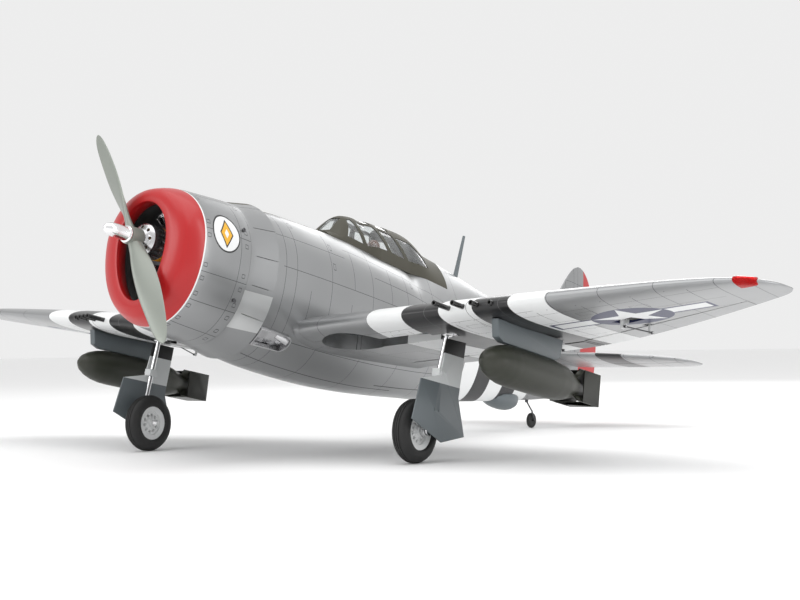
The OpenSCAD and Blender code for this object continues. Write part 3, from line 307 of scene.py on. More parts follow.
FLAP_HINGES = (40, 0.7 * (FLAP_X[1] - FLAP_X[0]))
WHEEL_UP, WHEEL_CENTRE = (155.5, 354.6), (288.7, 354.6, -235.3)
WELL_R, BAY_END = 52.5, 296
GUNS, GUN_HOLE_R = (372, 396, 420, 444), 4.3
TUBE_Y, TUBE_Z, TUBE_R = 430, -70, 11
RUDDER_Y, RUDDER_HINGES = 1340, (104, 210)
TAIL_Z, ELEVATOR_Y, ELEVATOR_X, JOINER_R = 30, 1262, 24, 2
TAIL_LEG_Y, TAIL_COLLAR_R = 1163, 3.6
PROP_RAKE, PROP_R, HUB_R, HUB_HALF, SHAFT_R = radians(-31.7), 191, 14, 11, 4


# ---------- solids, cuts and finished pieces ----------

def solid(bm, name="solid"):
    bmesh.ops.remove_doubles(bm, verts=bm.verts, dist=1e-4)
    bmesh.ops.recalc_face_normals(bm, faces=bm.faces)
    mesh = bpy.data.meshes.new(name)
    bm.to_mesh(mesh)
    bm.free()
    ob = bpy.data.objects.new(name, mesh)
    bpy.context.collection.objects.link(ob)
    return ob


def block(lo, hi, place=None):
    bm = bmesh.new()
    bmesh.ops.create_cube(bm, size=1)
    size = [h - l for l, h in zip(lo, hi)]
    mid = [(h + l) / 2 for l, h in zip(lo, hi)]
    fitted = (place or Matrix()) @ Matrix.Translation(mid) @ Matrix.Diagonal((*size, 1))
    bmesh.ops.transform(bm, matrix=fitted, verts=bm.verts)
    return solid(bm)


def along(p, q):
    # matrix that lays local Z from p towards q
    p, q = Vector(p), Vector(q)
    return Matrix.Translation(p) @ (q - p).to_track_quat("Z", "Y").to_matrix().to_4x4()


def rod(p, q, r, count=32, r2=None, place=None):
    bm = bmesh.new()
    length = (Vector(q) - Vector(p)).length
    bmesh.ops.create_cone(bm, cap_ends=True, segments=count, radius1=r, radius2=r if r2 is None else r2,
                          depth=length)
    bmesh.ops.transform(bm, matrix=(place or Matrix()) @ along(p, q) @ Matrix.Translation((0, 0, length / 2)),
                        verts=bm.verts)
    return solid(bm)


def turned(profile, place=None, count=64):
    # profile of (radius, height) spun about local Z
    bm = bmesh.new()
    verts = [bm.verts.new((r, 0, h)) for r, h in profile]
    edges = [bm.edges.new(pair) for pair in zip(verts, verts[1:])]
    bmesh.ops.spin(bm, geom=verts + edges, axis=(0, 0, 1), cent=(0, 0, 0), steps=count, angle=2 * pi,
                   use_merge=True)
    if place:
        bmesh.ops.transform(bm, matrix=place, verts=bm.verts)
    return solid(bm)


def prism(points, lo, hi, axis="X", place=None):
    # outline drawn as (y, z) and pushed along X, or as (x, y) and pushed along Z
    bm = bmesh.new()
    verts = [bm.verts.new((lo, p[0], p[1]) if axis == "X" else (p[0], p[1], lo)) for p in points]
    face = bm.faces.new(verts)
    out = bmesh.ops.extrude_face_region(bm, geom=[face])
    way = Vector((hi - lo, 0, 0)) if axis == "X" else Vector((0, 0, hi - lo))
    bmesh.ops.translate(bm, vec=way, verts=[v for v in out["geom"] if isinstance(v, bmesh.types.BMVert)])
    if place:
        bmesh.ops.transform(bm, matrix=place, verts=bm.verts)
    return solid(bm)


def lofted(rings, closed=False):
    bm = bmesh.new()
    loft(bm, rings, closed=closed)
    return solid(bm)


def combine(base, tool, how="DIFFERENCE"):
    mod = base.modifiers.new("join", "BOOLEAN")
    mod.operation, mod.object, mod.solver = how, tool, "EXACT"
    deps = bpy.context.evaluated_depsgraph_get()
    mesh = bpy.data.meshes.new_from_object(base.evaluated_get(deps))
    base.modifiers.clear()
    old = base.data
    base.data = mesh
    bpy.data.meshes.remove(old)
    old = tool.data
    bpy.data.objects.remove(tool)
    bpy.data.meshes.remove(old)
    return base


def cut(base, *tools):
    for tool in tools:
        base = combine(base, tool)
    return base


def common(base, tool):
    return combine(base, tool, "INTERSECT")


def fused(base, *tools):
    for tool in tools:
        base = combine(base, tool, "UNION")
    return base


def gather(*solids):
    # separate solids carried as one piece
    bm = bmesh.new()
    for ob in solids:
        bm.from_mesh(ob.data)
        old = ob.data
        bpy.data.objects.remove(ob)
        bpy.data.meshes.remove(old)
    mesh = bpy.data.meshes.new("group")
    bm.to_mesh(mesh)
    bm.free()
    ob = bpy.data.objects.new("group", mesh)
    bpy.context.collection.objects.link(ob)
    return ob


def other_side(ob):
    # the same solid for the right-hand side
    bm = bmesh.new()
    bm.from_mesh(ob.data)
    bmesh.ops.scale(bm, vec=(-1, 1, 1), verts=bm.verts)
    bmesh.ops.reverse_faces(bm, faces=bm.faces)
    mesh = bpy.data.meshes.new("mirrored")
    bm.to_mesh(mesh)
    bm.free()
    twin = bpy.data.objects.new("mirrored", mesh)
    bpy.context.collection.objects.link(twin)
    return twin


def round_edges(bm, crease, offset):
    edges = [e for e in bm.edges if len(e.link_faces) == 2 and e.calc_face_angle(0) > radians(crease)]
    bmesh.ops.bevel(bm, geom=edges, offset=offset, affect="EDGES", segments=2, profile=0.5, material=-1,
                    clamp_overlap=True)


def piece(ob, name, material, body="airframe", nodes=(), crease=30, bevel=0.0):
    # names the solid, rounds its edges, sets it down on its wheels and gives it to its body
    ob.name = ob.data.name = name
    bm = bmesh.new()
    bm.from_mesh(ob.data)
    if bevel:
        bmesh.ops.dissolve_limit(bm, angle_limit=radians(1), verts=bm.verts, edges=bm.edges)
        round_edges(bm, crease, bevel)
    bmesh.ops.transform(bm, matrix=set_down, verts=bm.verts)
    bm.to_mesh(ob.data)
    bm.free()
    for poly in ob.data.polygons:
        poly.use_smooth = True
    ob.data.set_sharp_from_angle(angle=radians(crease + 5))
    ob.data.materials.clear()
    ob.data.materials.append(material)
    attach(ob, body)
    if nodes:
        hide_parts(*nodes)
    return ob


def recast(node, material, crease=30, bevel=0.0):
    # a CAD node's own shape with merged, rounded and smooth-shaded faces
    src = frame["nodes"][node]
    bm = bmesh.new()
    bm.from_mesh(src.data)
    bmesh.ops.remove_doubles(bm, verts=bm.verts, dist=1e-6)
    bmesh.ops.dissolve_limit(bm, angle_limit=radians(0.6), verts=bm.verts, edges=bm.edges)
    if bevel:
        round_edges(bm, crease, bevel / 1000)
    mesh = bpy.data.meshes.new(node + "_finish")
    bm.to_mesh(mesh)
    bm.free()
    for poly in mesh.polygons:
        poly.use_smooth = True
    mesh.set_sharp_from_angle(angle=radians(crease + 5))
    ob = bpy.data.objects.new(mesh.name, mesh)
    bpy.context.collection.objects.link(ob)
    mesh.materials.append(material)
    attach(ob, body_of(src)[0])
    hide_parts(node)
    return ob


# ---------- finishes ----------

class Shader:
    # short names for the nodes of one material or group
    def __init__(self, tree):
        self.tree = tree

    def new(self, kind, **settings):
        node = self.tree.nodes.new(kind)
        for key, value in settings.items():
            setattr(node, key, value)
        return node

    def feed(self, socket, value):
        if isinstance(value, bpy.types.NodeSocket):
            self.tree.links.new(value, socket)
        else:
            socket.default_value = value

    def math(self, op, *values):
        node = self.new("ShaderNodeMath", operation=op)
        for socket, value in zip(node.inputs, values):
            self.feed(socket, value)
        return node.outputs[0]

    def mix(self, fac, a, b):
        node = self.new("ShaderNodeMix", data_type="RGBA")
        self.feed(node.inputs[0], fac)
        for socket, value in zip(node.inputs[6:8], (a, b)):
            self.feed(socket, value if isinstance(value, bpy.types.NodeSocket) else (*value, 1))
        return node.outputs[2]

    def blend(self, fac, a, b):
        node = self.new("ShaderNodeMix", data_type="FLOAT")
        for socket, value in zip((node.inputs[0], node.inputs[2], node.inputs[3]), (fac, a, b)):
            self.feed(socket, value)
        return node.outputs[0]

    def noise(self, vector, scale, detail=3, rough=0.5):
        node = self.new("ShaderNodeTexNoise")
        self.feed(node.inputs["Vector"], vector)
        node.inputs["Scale"].default_value = scale
        node.inputs["Detail"].default_value = detail
        node.inputs["Roughness"].default_value = rough
        return node.outputs["Fac"]

    def group(self, tree, **values):
        node = self.new("ShaderNodeGroup", node_tree=tree)
        for key, value in values.items():
            self.feed(node.inputs[key], value)
        return node.outputs

    def between(self, v, lo, hi):
        return self.math("COMPARE", v, (lo + hi) / 2, (hi - lo) / 2)

    def both(self, a, b):
        return self.math("MULTIPLY", a, b)

    def either(self, masks):
        out = masks[0]
        for m in masks[1:]:
            out = self.math("MAXIMUM", out, m)
        return out

    def split(self, vector):
        node = self.new("ShaderNodeSeparateXYZ")
        self.feed(node.inputs[0], vector)
        return node.outputs


def shader_group(name, inputs, outputs):
    tree = bpy.data.node_groups.new(name, "ShaderNodeTree")
    kinds = {"v": "NodeSocketVector", "f": "NodeSocketFloat", "c": "NodeSocketColor"}
    for key, kind, value in inputs:
        s = tree.interface.new_socket(key, in_out="INPUT", socket_type=kinds[kind])
        if value is not None:
            s.default_value = value
    for key, kind in outputs:
        tree.interface.new_socket(key, in_out="OUTPUT", socket_type=kinds[kind])
    n = Shader(tree)
    return tree, n, n.new("NodeGroupInput").outputs, n.new("NodeGroupOutput").inputs


def make_wear():
    # slow drift of tone, fine grain and a few scuffs, from a place in millimetres
    inputs = [("Place", "v", None), ("Colour", "c", (0.5, 0.5, 0.5, 1)), ("Drift", "f", 0.12),
              ("Scuffs", "f", 0.3), ("Roughness", "f", 0.4)]
    tree, n, i, o = shader_group("wear", inputs, [("Colour", "c"), ("Roughness", "f"), ("Height", "f")])
    slow = n.noise(i["Place"], 0.012, 4)
    fine = n.noise(i["Place"], 0.9, 2)
    marks = n.noise(i["Place"], 0.11, 6, 0.7)
    scuff = n.math("MULTIPLY", n.math("SUBTRACT", marks, 0.62), 6)
    scuff = n.math("MULTIPLY", n.math("SMOOTH_MAX", 0.0, scuff, 0.01), i["Scuffs"])
    tone = n.math("ADD", 1, n.math("MULTIPLY", n.math("SUBTRACT", slow, 0.5), i["Drift"]))
    hsv = n.new("ShaderNodeHueSaturation")
    n.feed(hsv.inputs["Color"], i["Colour"])
    n.feed(hsv.inputs["Value"], n.math("SUBTRACT", tone, n.math("MULTIPLY", scuff, 0.35)))
    n.feed(o["Colour"], hsv.outputs[0])
    n.feed(o["Roughness"], n.math("ADD", i["Roughness"], n.math("ADD", n.math("MULTIPLY", scuff, 0.2),
                                  n.math("MULTIPLY", n.math("SUBTRACT", slow, 0.5), 0.16))))
    n.feed(o["Height"], n.math("SUBTRACT", n.math("MULTIPLY", fine, 0.25), scuff))
    return tree


def make_badge():
    # five-pointed star on a disc with side bars; Along runs with the bars, Up towards the star's point
    tree, n, i, o = shader_group("star_and_bars", [("Along", "f", 0), ("Up", "f", 0), ("Radius", "f", 60)],
                                 [("Blue", "f"), ("White", "f")])
    u = n.math("DIVIDE", i["Along"], i["Radius"])
    v = n.math("DIVIDE", i["Up"], i["Radius"])
    r = n.math("SQRT", n.math("ADD", n.math("MULTIPLY", u, u), n.math("MULTIPLY", v, v)))
    a = n.math("ARCTAN2", u, v)
    a = n.math("FLOORED_MODULO", n.math("ADD", a, radians(36)), radians(72))
    a = n.math("ABSOLUTE", n.math("SUBTRACT", a, radians(36)))
    reach = n.math("COSINE", n.math("SUBTRACT", a, radians(72)))
    star = n.math("LESS_THAN", n.math("MULTIPLY", r, reach), 0.309 * 0.97)
    disc = n.math("LESS_THAN", r, 1.0)
    ub, vb = n.math("ABSOLUTE", u), n.math("ABSOLUTE", n.math("SUBTRACT", v, 0.06))
    bar = n.both(n.math("LESS_THAN", ub, 2.0), n.math("LESS_THAN", vb, 0.25))
    edge = n.both(n.math("LESS_THAN", ub, 2.09), n.math("LESS_THAN", vb, 0.34))
    n.feed(o["Blue"], n.either([disc, edge]))
    n.feed(o["White"], n.either([n.both(disc, star), n.both(bar, n.math("SUBTRACT", 1, disc))]))
    return tree


def make_seams(name, strips, dots=()):
    # thin panel lines as (u, v, half u, half v), and round fastener heads as (u, v, radius)
    tree, n, i, o = shader_group(name, [("U", "f", 0), ("V", "f", 0)], [("Line", "f"), ("Dot", "f")])
    marks = [n.both(n.math("COMPARE", i["U"], u, hu), n.math("COMPARE", i["V"], v, hv))
             for u, v, hu, hv in strips]
    n.feed(o["Line"], n.either(marks))
    spots = []
    for u, v, r in dots:
        du, dv = n.math("SUBTRACT", i["U"], u), n.math("SUBTRACT", i["V"], v)
        square = n.math("ADD", n.math("MULTIPLY", du, du), n.math("MULTIPLY", dv, dv))
        spots.append(n.math("LESS_THAN", square, r * r))
    if spots:
        n.feed(o["Dot"], n.either(spots))
    return tree


WEAR, BADGE = make_wear(), make_badge()
SILVER, OLIVE, RED = (0.34, 0.345, 0.35), (0.052, 0.048, 0.032), (0.44, 0.006, 0.008)
BLACK, WHITE, NAVY = (0.012, 0.012, 0.013), (0.80, 0.81, 0.81), (0.015, 0.02, 0.075)
SLATE = (0.125, 0.145, 0.155)


class Finish:
    # a painted or metal finish in level millimetres, with layers added one over another
    def __init__(self, name, colour, rough=0.4, metal=0.0, coat=0.0, drift=0.12, scuffs=0.3, specular=0.5):
        self.mat = bpy.data.materials.new(name)
        self.mat.use_nodes = True
        n = self.n = Shader(self.mat.node_tree)
        self.skin = self.mat.node_tree.nodes["Principled BSDF"]
        coord = n.new("ShaderNodeTexCoord")
        level = n.new("ShaderNodeMapping")
        n.feed(level.inputs["Vector"], coord.outputs["Object"])
        level.inputs["Scale"].default_value = (1000, 1000, 1000)
        level.inputs["Rotation"].default_value = (NOSE_UP, 0, 0)
        shift = Matrix.Rotation(NOSE_UP, 3, "X") @ Vector((0, -MIDDLE, HUB_H))
        level.inputs["Location"].default_value = -shift
        self.place = level.outputs[0]
        self.x, self.y, self.z = n.split(self.place)
        self.side = n.math("ABSOLUTE", self.x)
        self.colour, self.rough, self.metal = colour, rough, metal
        self.drift, self.scuffs = drift, scuffs
        self.heights = []
        self.skin.inputs["Coat Weight"].default_value = coat
        self.skin.inputs["Coat Roughness"].default_value = 0.15
        self.skin.inputs["Specular IOR Level"].default_value = specular

    def layer(self, mask, colour, rough=None, metal=None):
        self.colour = self.n.mix(mask, self.colour, colour)
        if rough is not None:
            self.rough = self.n.blend(mask, self.rough, rough)
        if metal is not None:
            self.metal = self.n.blend(mask, self.metal, metal)
        return self

    def engrave(self, mask, depth=1.0):
        self.heights.append(self.n.math("MULTIPLY", mask, -depth))
        return self

    def seams(self, tree, u, v, colour=(0.07, 0.072, 0.075), strength=0.8):
        out = self.n.group(tree, U=u, V=v)
        self.layer(self.n.math("MULTIPLY", out["Line"], strength), colour, rough=0.6)
        self.engrave(out["Line"], 1.2)
        return out

    def done(self, bump=0.15, distance=0.0004):
        n = self.n
        values = {"Place": self.place, "Drift": self.drift, "Scuffs": self.scuffs, "Roughness": self.rough,
                  "Colour": self.colour if isinstance(self.colour, bpy.types.NodeSocket) else (*self.colour, 1)}
        out = n.group(WEAR, **values)
        n.feed(self.skin.inputs["Base Color"], out["Colour"])
        n.feed(self.skin.inputs["Roughness"], out["Roughness"])
        n.feed(self.skin.inputs["Metallic"], self.metal)
        height = out["Height"]
        for h in self.heights:
            height = n.math("ADD", height, h)
        node = n.new("ShaderNodeBump")
        node.inputs["Strength"].default_value = bump
        node.inputs["Distance"].default_value = distance
        n.feed(node.inputs["Height"], height)
        n.feed(self.skin.inputs["Normal"], node.outputs[0])
        return self.mat


SEAM = 0.45     # half the width of a panel line


def rows_of(us, vs, half, upright=True):
    return [(u, v, SEAM, half) if upright else (u, v, half, SEAM) for u in us for v in vs]


def tabs(u, v, w, h):
    # outline of a small access panel
    return [(u, v - h, w, 0.35), (u, v + h, w, 0.35), (u - w, v, 0.35, h), (u + w, v, 0.35, h)]


def hull_seams():
    # U is the station along the body, V the angle round it, from -90 below to 90 above
    strips = rows_of([236, 262, 352, 470, 585, 690, 800, 915, 1030, 1140, 1250], [0], 90)
    strips += [(530, 8, 300, 0.28), (900, 30, 420, 0.3), (300, 38, 95, 0.25), (640, 48, 240, 0.22),
               (560, -52, 330, 0.25), (980, -38, 300, 0.3), (420, -74, 200, 0.4), (820, -70, 260, 0.5)]
    strips += rows_of([300, 410, 740, 860, 985, 1090], [-22], 15) + rows_of([415, 530, 640], [28], 20)
    for u, v in ((352, 24), (352, 44), (262, 55), (600, 42), (700, 12), (470, -40), (860, -20), (915, 18)):
        strips += tabs(u + 8, v, 3, 3)
    return make_seams("hull_seams", strips)


def wing_seams():
    # U runs out along the span, V back along the chord
    strips = rows_of([132, 226, 330, 402, 455, 532, 610, 690, 770, 812], [430], 160)
    strips += [(300, 322, 200, SEAM), (610, 345, 160, SEAM), (430, 398, 330, SEAM), (330, 470, 210, SEAM),
               (640, 455, 120, SEAM), (280, 552, 160, SEAM), (520, 520, 70, SEAM)]
    strips += rows_of([180, 275, 362, 500, 572, 650, 730], [365], 33)
    strips += rows_of([200, 300, 490, 560], [510], 40)
    for u, v in ((250, 350), (312, 350), (386, 352), (560, 370), (640, 378), (232, 505), (336, 500),
                 (478, 470)):
        strips += tabs(u, v, 13, 9)
    out = (246, 262, 292, 306, 352, 372, 398, 420, 444, 486, 520, 566, 604, 650, 700)
    dots = [(u, v, 1.1) for u in out for v in (326, 402, 474)]
    return make_seams("wing_seams", strips, dots)


def tail_seams():
    strips = rows_of([60, 110, 150, 205, 255, 300], [1240], 110)
    strips += [(170, 1216, 160, SEAM), (150, 1296, 150, SEAM)]
    return make_seams("tail_seams", strips)


def fin_seams():
    # U is the station, V the height
    strips = rows_of([1238, 1288, 1322], [150], 110) + [(1300, v, 80, SEAM) for v in (96, 136, 178, 220)]
    return make_seams("fin_seams", strips)


def cowl_seams():
    strips = [(102, v, 50, 0.3) for v in (62, 24, -14, -40, -66)] + rows_of([128], [0], 90)
    for v in (56, 30, 18, -8, -20, -34, -46, -60, -72):
        strips += tabs(60, v, 3.2, 1.6) + tabs(140, v, 3.2, 1.6)
    return make_seams("cowl_seams", strips)


def silver_skin(name):
    return Finish(name, SILVER, rough=0.34, metal=0.85, coat=0.1, drift=0.1, scuffs=0.15)


def hull_angle(f, mid=-10):
    return f.n.math("MULTIPLY", f.n.math("ARCTAN2", f.n.math("SUBTRACT", f.z, mid), f.side), 180 / pi)


def body_stripes(f):
    n = f.n
    along = f.y
    white = n.either([n.between(along, lo, hi) for lo, hi in ((824, 885), (946, 1007), (1068, 1129))])
    black = n.either([n.between(along, lo, hi) for lo, hi in ((885, 946), (1007, 1068))])
    below = n.math("LESS_THAN", f.z, -22)
    f.layer(n.both(white, below), WHITE, 0.42, 0).layer(n.both(black, below), BLACK, 0.4, 0)


def hull_finish():
    f = silver_skin("hull_silver")
    n = f.n
    f.seams(hull_seams(), f.y, hull_angle(f))
    deck = n.both(n.math("LESS_THAN", f.side, 36.5), n.math("LESS_THAN", f.y, 405))
    deck = n.both(deck, n.math("GREATER_THAN", f.z, 40))
    f.layer(deck, OLIVE, 0.62, 0)
    body_stripes(f)
    badge = n.group(BADGE, Along=n.math("SUBTRACT", f.y, 905), Up=n.math("SUBTRACT", f.z, 32), Radius=34.0)
    f.layer(badge["Blue"], NAVY, 0.42, 0).layer(badge["White"], WHITE, 0.42, 0)
    # painted shade: the hull under the cowl petals, from y 158 to 204, is painted dark grey so the slots between
    # the petals and the space behind the engine look shaded
    f.layer(n.both(n.between(f.y, 158, 204), n.math("LESS_THAN", f.z, 400)), (0.1, 0.1, 0.1), 0.6, 0.2)
    return f.done()


def cowl_finish():
    f = silver_skin("cowl_silver")
    n = f.n
    f.seams(cowl_seams(), f.y, hull_angle(f, -20))
    deck = n.both(n.math("LESS_THAN", f.side, 36), n.math("GREATER_THAN", f.z, 40))
    f.layer(deck, OLIVE, 0.62, 0)
    u, v = n.math("SUBTRACT", f.y, 96), n.math("SUBTRACT", f.z, 22)
    r = n.math("SQRT", n.math("ADD", n.math("MULTIPLY", u, u), n.math("MULTIPLY", v, v)))
    kite = n.math("ADD", n.math("ABSOLUTE", u), n.math("MULTIPLY", n.math("ABSOLUTE", v), 0.62))
    outer = n.math("GREATER_THAN", f.side, 70)
    f.layer(n.both(n.math("LESS_THAN", r, 29), outer), BLACK, 0.4, 0)
    f.layer(n.both(n.math("LESS_THAN", r, 26.5), outer), WHITE, 0.4, 0)
    f.layer(n.both(n.math("LESS_THAN", kite, 14), outer), BLACK, 0.4, 0)
    f.layer(n.both(n.math("LESS_THAN", kite, 11.5), outer), (0.80, 0.42, 0.02), 0.4, 0)
    f.layer(n.both(n.math("LESS_THAN", kite, 4.5), outer), WHITE, 0.4, 0)
    f.layer(n.math("LESS_THAN", f.y, 54.5), WHITE, 0.35, 0)
    f.layer(n.math("LESS_THAN", f.y, 52), RED, 0.34, 0)
    return f.done()


def wing_finish():
    f = silver_skin("wing_silver")
    n = f.n
    out = f.seams(WING_LINES, f.side, f.y)
    white = n.either([n.between(f.side, lo, hi) for lo, hi in ((226, 290), (355, 412), (471, 530))])
    black = n.either([n.between(f.side, lo, hi) for lo, hi in ((290, 355), (412, 471))])
    f.layer(white, WHITE, 0.4, 0).layer(black, BLACK, 0.32, 0)
    f.layer(n.both(out["Line"], n.either([white, n.math("MULTIPLY", black, 0.4)])), (0.2, 0.2, 0.2), 0.5)
    f.layer(n.math("MULTIPLY", out["Dot"], 0.7), (0.05, 0.05, 0.05), 0.5, 0)
    badge = n.group(BADGE, Along=n.math("SUBTRACT", f.side, 602), Up=n.math("SUBTRACT", 434, f.y),
                    Radius=60.0)
    f.layer(badge["Blue"], NAVY, 0.4, 0).layer(badge["White"], WHITE, 0.4, 0)
    return f.done()


def tail_finish():
    f = silver_skin("tail_silver")
    n = f.n
    f.seams(tail_seams(), f.side, f.y)
    f.layer(n.between(f.side, 147, 200), BLACK, 0.36, 0)
    return f.done()


def fin_finish(name="fin_silver"):
    f = silver_skin(name)
    f.seams(fin_seams(), f.y, f.z)
    return f


def rudder_finish():
    f = fin_finish("rudder_red_and_silver")
    f.layer(f.n.math("GREATER_THAN", f.y, 1369), RED, 0.36, 0)
    return f.done()


def petal_finish():
    f = silver_skin("petal_silver")
    n = f.n
    f.layer(n.both(n.math("LESS_THAN", f.side, 36), n.math("GREATER_THAN", f.z, 40)), OLIVE, 0.62, 0)
    beside_pan = n.both(n.between(f.z, -108, -52), n.math("GREATER_THAN", f.side, 40))
    f.layer(beside_pan, (0.66, 0.67, 0.67), 0.3)
    return f.done()


def plain(name, colour, rough=0.4, metal=0.0, **more):
    bump = more.pop("bump", 0.12)
    distance = more.pop("distance", 0.0003)
    return Finish(name, colour, rough, metal, **more).done(bump, distance)


WING_LINES = wing_seams()
hull_silver, cowl_silver, wing_silver, tail_silver = hull_finish(), cowl_finish(), wing_finish(), tail_finish()
fin_silver, rudder_red = fin_finish().done(), rudder_finish()
petal_silver = petal_finish()
chrome = plain("polished_chrome", (0.86, 0.86, 0.87), 0.14, 1.0, drift=0.04, scuffs=0.1, bump=0.03)
cast_silver = plain("cast_silver", (0.62, 0.62, 0.63), 0.24, 0.95, drift=0.2, scuffs=0.5, bump=0.25)
dark_metal = plain("dark_metal", (0.10, 0.10, 0.105), 0.42, 0.8)
gloss_black = plain("gloss_black", (0.012, 0.012, 0.012), 0.25, 0.0, coat=0.2)
satin_black = plain("satin_black", (0.018, 0.018, 0.018), 0.5)
olive_paint = plain("olive_paint", OLIVE, 0.6, 0.0, scuffs=0.6)
bomb_olive = plain("bomb_olive", (0.026, 0.028, 0.018), 0.48, 0.0, coat=0.1, scuffs=0.4)
blade_grey = plain("blade_grey", (0.27, 0.29, 0.26), 0.36, 0.35, drift=0.15)
slate_paint = plain("slate_paint", SLATE, 0.42, 0.1)
white_nylon = plain("white_nylon", (0.74, 0.75, 0.75), 0.42, 0.0)
rubber = plain("tyre_rubber", (0.014, 0.014, 0.014), 0.62, 0.0, drift=0.5, bump=0.4)
plywood = plain("plywood", (0.50, 0.34, 0.19), 0.65, 0.0, drift=0.5, bump=0.3)
winding = plain("motor_yellow", (0.75, 0.33, 0.01), 0.45, 0.1)
wrap_blue = plain("battery_wrap", (0.02, 0.03, 0.10), 0.35, 0.0)
board_red = plain("controller_red", (0.25, 0.01, 0.01), 0.35, 0.0)
cockpit_green = plain("cockpit_green", (0.055, 0.075, 0.05), 0.6, 0.0)
# dark grey for painted shade inside the wheel wells and the cowl
painted_shade_grey = plain("painted_shade_grey", (0.09, 0.10, 0.105), 0.5, 0.1)
flight_jacket = plain("flight_jacket", (0.16, 0.055, 0.025), 0.6, 0.0, drift=0.6, bump=0.4)


def clear(name, colour, rough=0.04, weight=0.92):
    mat = bpy.data.materials.new(name)
    mat.use_nodes = True
    p = mat.node_tree.nodes["Principled BSDF"]
    n = Shader(mat.node_tree)
    coord = n.new("ShaderNodeTexCoord")
    mottle = n.noise(coord.outputs["Object"], 60, 2)
    n.feed(p.inputs["Roughness"], n.math("ADD", rough, n.math("MULTIPLY", mottle, 0.03)))
    p.inputs["Base Color"].default_value = (*colour, 1)
    p.inputs["Transmission Weight"].default_value = weight
    p.inputs["IOR"].default_value = 1.2
    return mat


clear_plastic = clear("clear_plastic", (0.93, 0.95, 0.95))
red_lens = clear("red_lens", (0.75, 0.02, 0.02), 0.08, 0.7)
green_lens = clear("green_lens", (0.02, 0.55, 0.12), 0.08, 0.7)


# ---------- fuselage ----------

def behind(y):
    return block((-FAR, y, -FAR), (FAR, 1600, FAR))


def build_fuselage():
    skin = lofted([body_ring(r) for r in smooth_rows(HULL, 5)])
    skin = cut(skin, behind(RUDDER_Y - GAP - 4))
    for side in (1, -1):
        stub = []
        for k in [j / 8 for j in range(9)]:
            row = [0, ROOT_Y - 10 * (1 - k), 652 + 14 * (1 - k), 0.14 + 0.03 * (1 - k)]
            stub.append([(side * p[0], p[1], p[2]) for p in rib(50 + (STUB - 50) * k, row)])
        skin = fused(skin, lofted(stub))
    hollow = [[158] + HULL[0][1:]] + [r for r in HULL[1:] if r[0] <= FAIRING_END]
    inner = lofted([body_ring(r, SHELL_T, 64) for r in smooth_rows(hollow, 3)])
    skin = cut(skin, inner)
    skin = cut(skin, prism([*map(tuple, RAIL), (771, 300), (400, 300)], -FAR, FAR))
    for side in (1, -1):
        skin = cut(skin, prism(exhaust_outline(0.3), -14, 20, place=exhaust_place(side)))
    # wing tube, both pushrod slots, the tail leg's collar and the elevators' joiner
    skin = cut(skin, rod((-300, TUBE_Y, TUBE_Z), (300, TUBE_Y, TUBE_Z), TUBE_R + FIT, 48),
               block((13, 1188, -3), (73, 1318, 7)), block((-60, 1080, 6), (-18, 1144, 18)),
               rod((0, TAIL_LEG_Y, -90), (0, TAIL_LEG_Y, -28), TAIL_COLLAR_R + FIT),
               rod((-60, ELEVATOR_Y, TAIL_Z), (60, ELEVATOR_Y, TAIL_Z), JOINER_R + 1))
    piece(skin, "fuselage_skin", hull_silver, nodes=["fuselage_shell"], crease=34)


def exhaust_place(side):
    place = Matrix.Translation((70, EXHAUST_Y, -109)) @ Matrix.Rotation(radians(43), 4, "Y")
    return place if side > 0 else Matrix.Diagonal((-1, 1, 1, 1)) @ place


def exhaust_outline(grow):
    front = PETAL_END + 2 - EXHAUST_Y - grow
    points = [(front, -16 - grow), (30, -16 - grow)]
    r = 16 + grow
    points += [(30 + r * sin(radians(a)), -r * cos(radians(a))) for a in range(10, 180, 10)]
    return points + [(30, r), (front, r)]


build_fuselage()


def build_cowl():
    outside = [body_ring(r) for r in smooth_rows(COWL, 5)]
    inside = [body_ring(r) for r in smooth_rows(COWL_IN[:-1] + [[COWL_END] + COWL_IN[-1][1:]], 5)]
    skin = lofted(outside + inside[::-1], closed=True)
    piece(skin, "cowl_skin", cowl_silver, nodes=["engine_cowl"], crease=40)
    # painted shade: a dark grey sheet just inside the cowl, so the inside of the cowl looks shaded
    rows = smooth_rows([[44, 60, 62, -101, -4, 2, 1.95]] + COWL_IN[3:-1] + [[COWL_END] + COWL_IN[-1][1:]], 4)
    cowl_shade_sheet = [body_ring(r, 0.15) for r in rows] + [body_ring(r, 0.7) for r in reversed(rows)]
    piece(lofted(cowl_shade_sheet, closed=True), "cowl_painted_shade", painted_shade_grey, crease=40)
    recast("fasteners", dark_metal, bevel=0.25)


def build_petals():
    outside = [[COWL_END + 0.3, 100, 95.5, -136, -8, 2.1, 2.15], [162, 100.6, 96.5, -137, -8, 2.1, 2.15],
               [PETAL_END, 101 + FLARE, 101 + FLARE, -142 - FLARE, -8, 2.1, 2.15]]
    inside = [[COWL_END - 1, 98, 93.5, -134, -8, 2.1, 2.15], [162, 98.6, 94.5, -135, -8, 2.1, 2.15],
              [PETAL_END + 1, 99.4 + FLARE, 99.4 + FLARE, -140.4 - FLARE, -8, 2.1, 2.15]]
    skin = cut(lofted([body_ring(r) for r in smooth_rows(outside, 3)]),
               lofted([body_ring(r) for r in smooth_rows(inside, 3)]))
    for i in range(PETALS):
        a = 2 * pi * (i + 0.5) / PETALS
        if sin(a) < 0.9:
            place = Matrix.Translation((0, COWL_END + 12, PETAL_MID_Z)) @ Matrix.Rotation(a, 4, "Y")
            skin = cut(skin, block((0, 0, -0.5), (200, 80, 0.5), place))
    piece(skin, "cowl_petals", petal_silver, nodes=["cowl_flaps"], crease=30)


def strip(x0, x1):
    return block((x0, -FAR, -FAR), (x1, 900, FAR))


def slot(frame_at, length, x0, x1):
    return common(block((-60, -GAP, -60), (length, 150, 60), frame_at), strip(x0 - GAP, x1 + GAP))


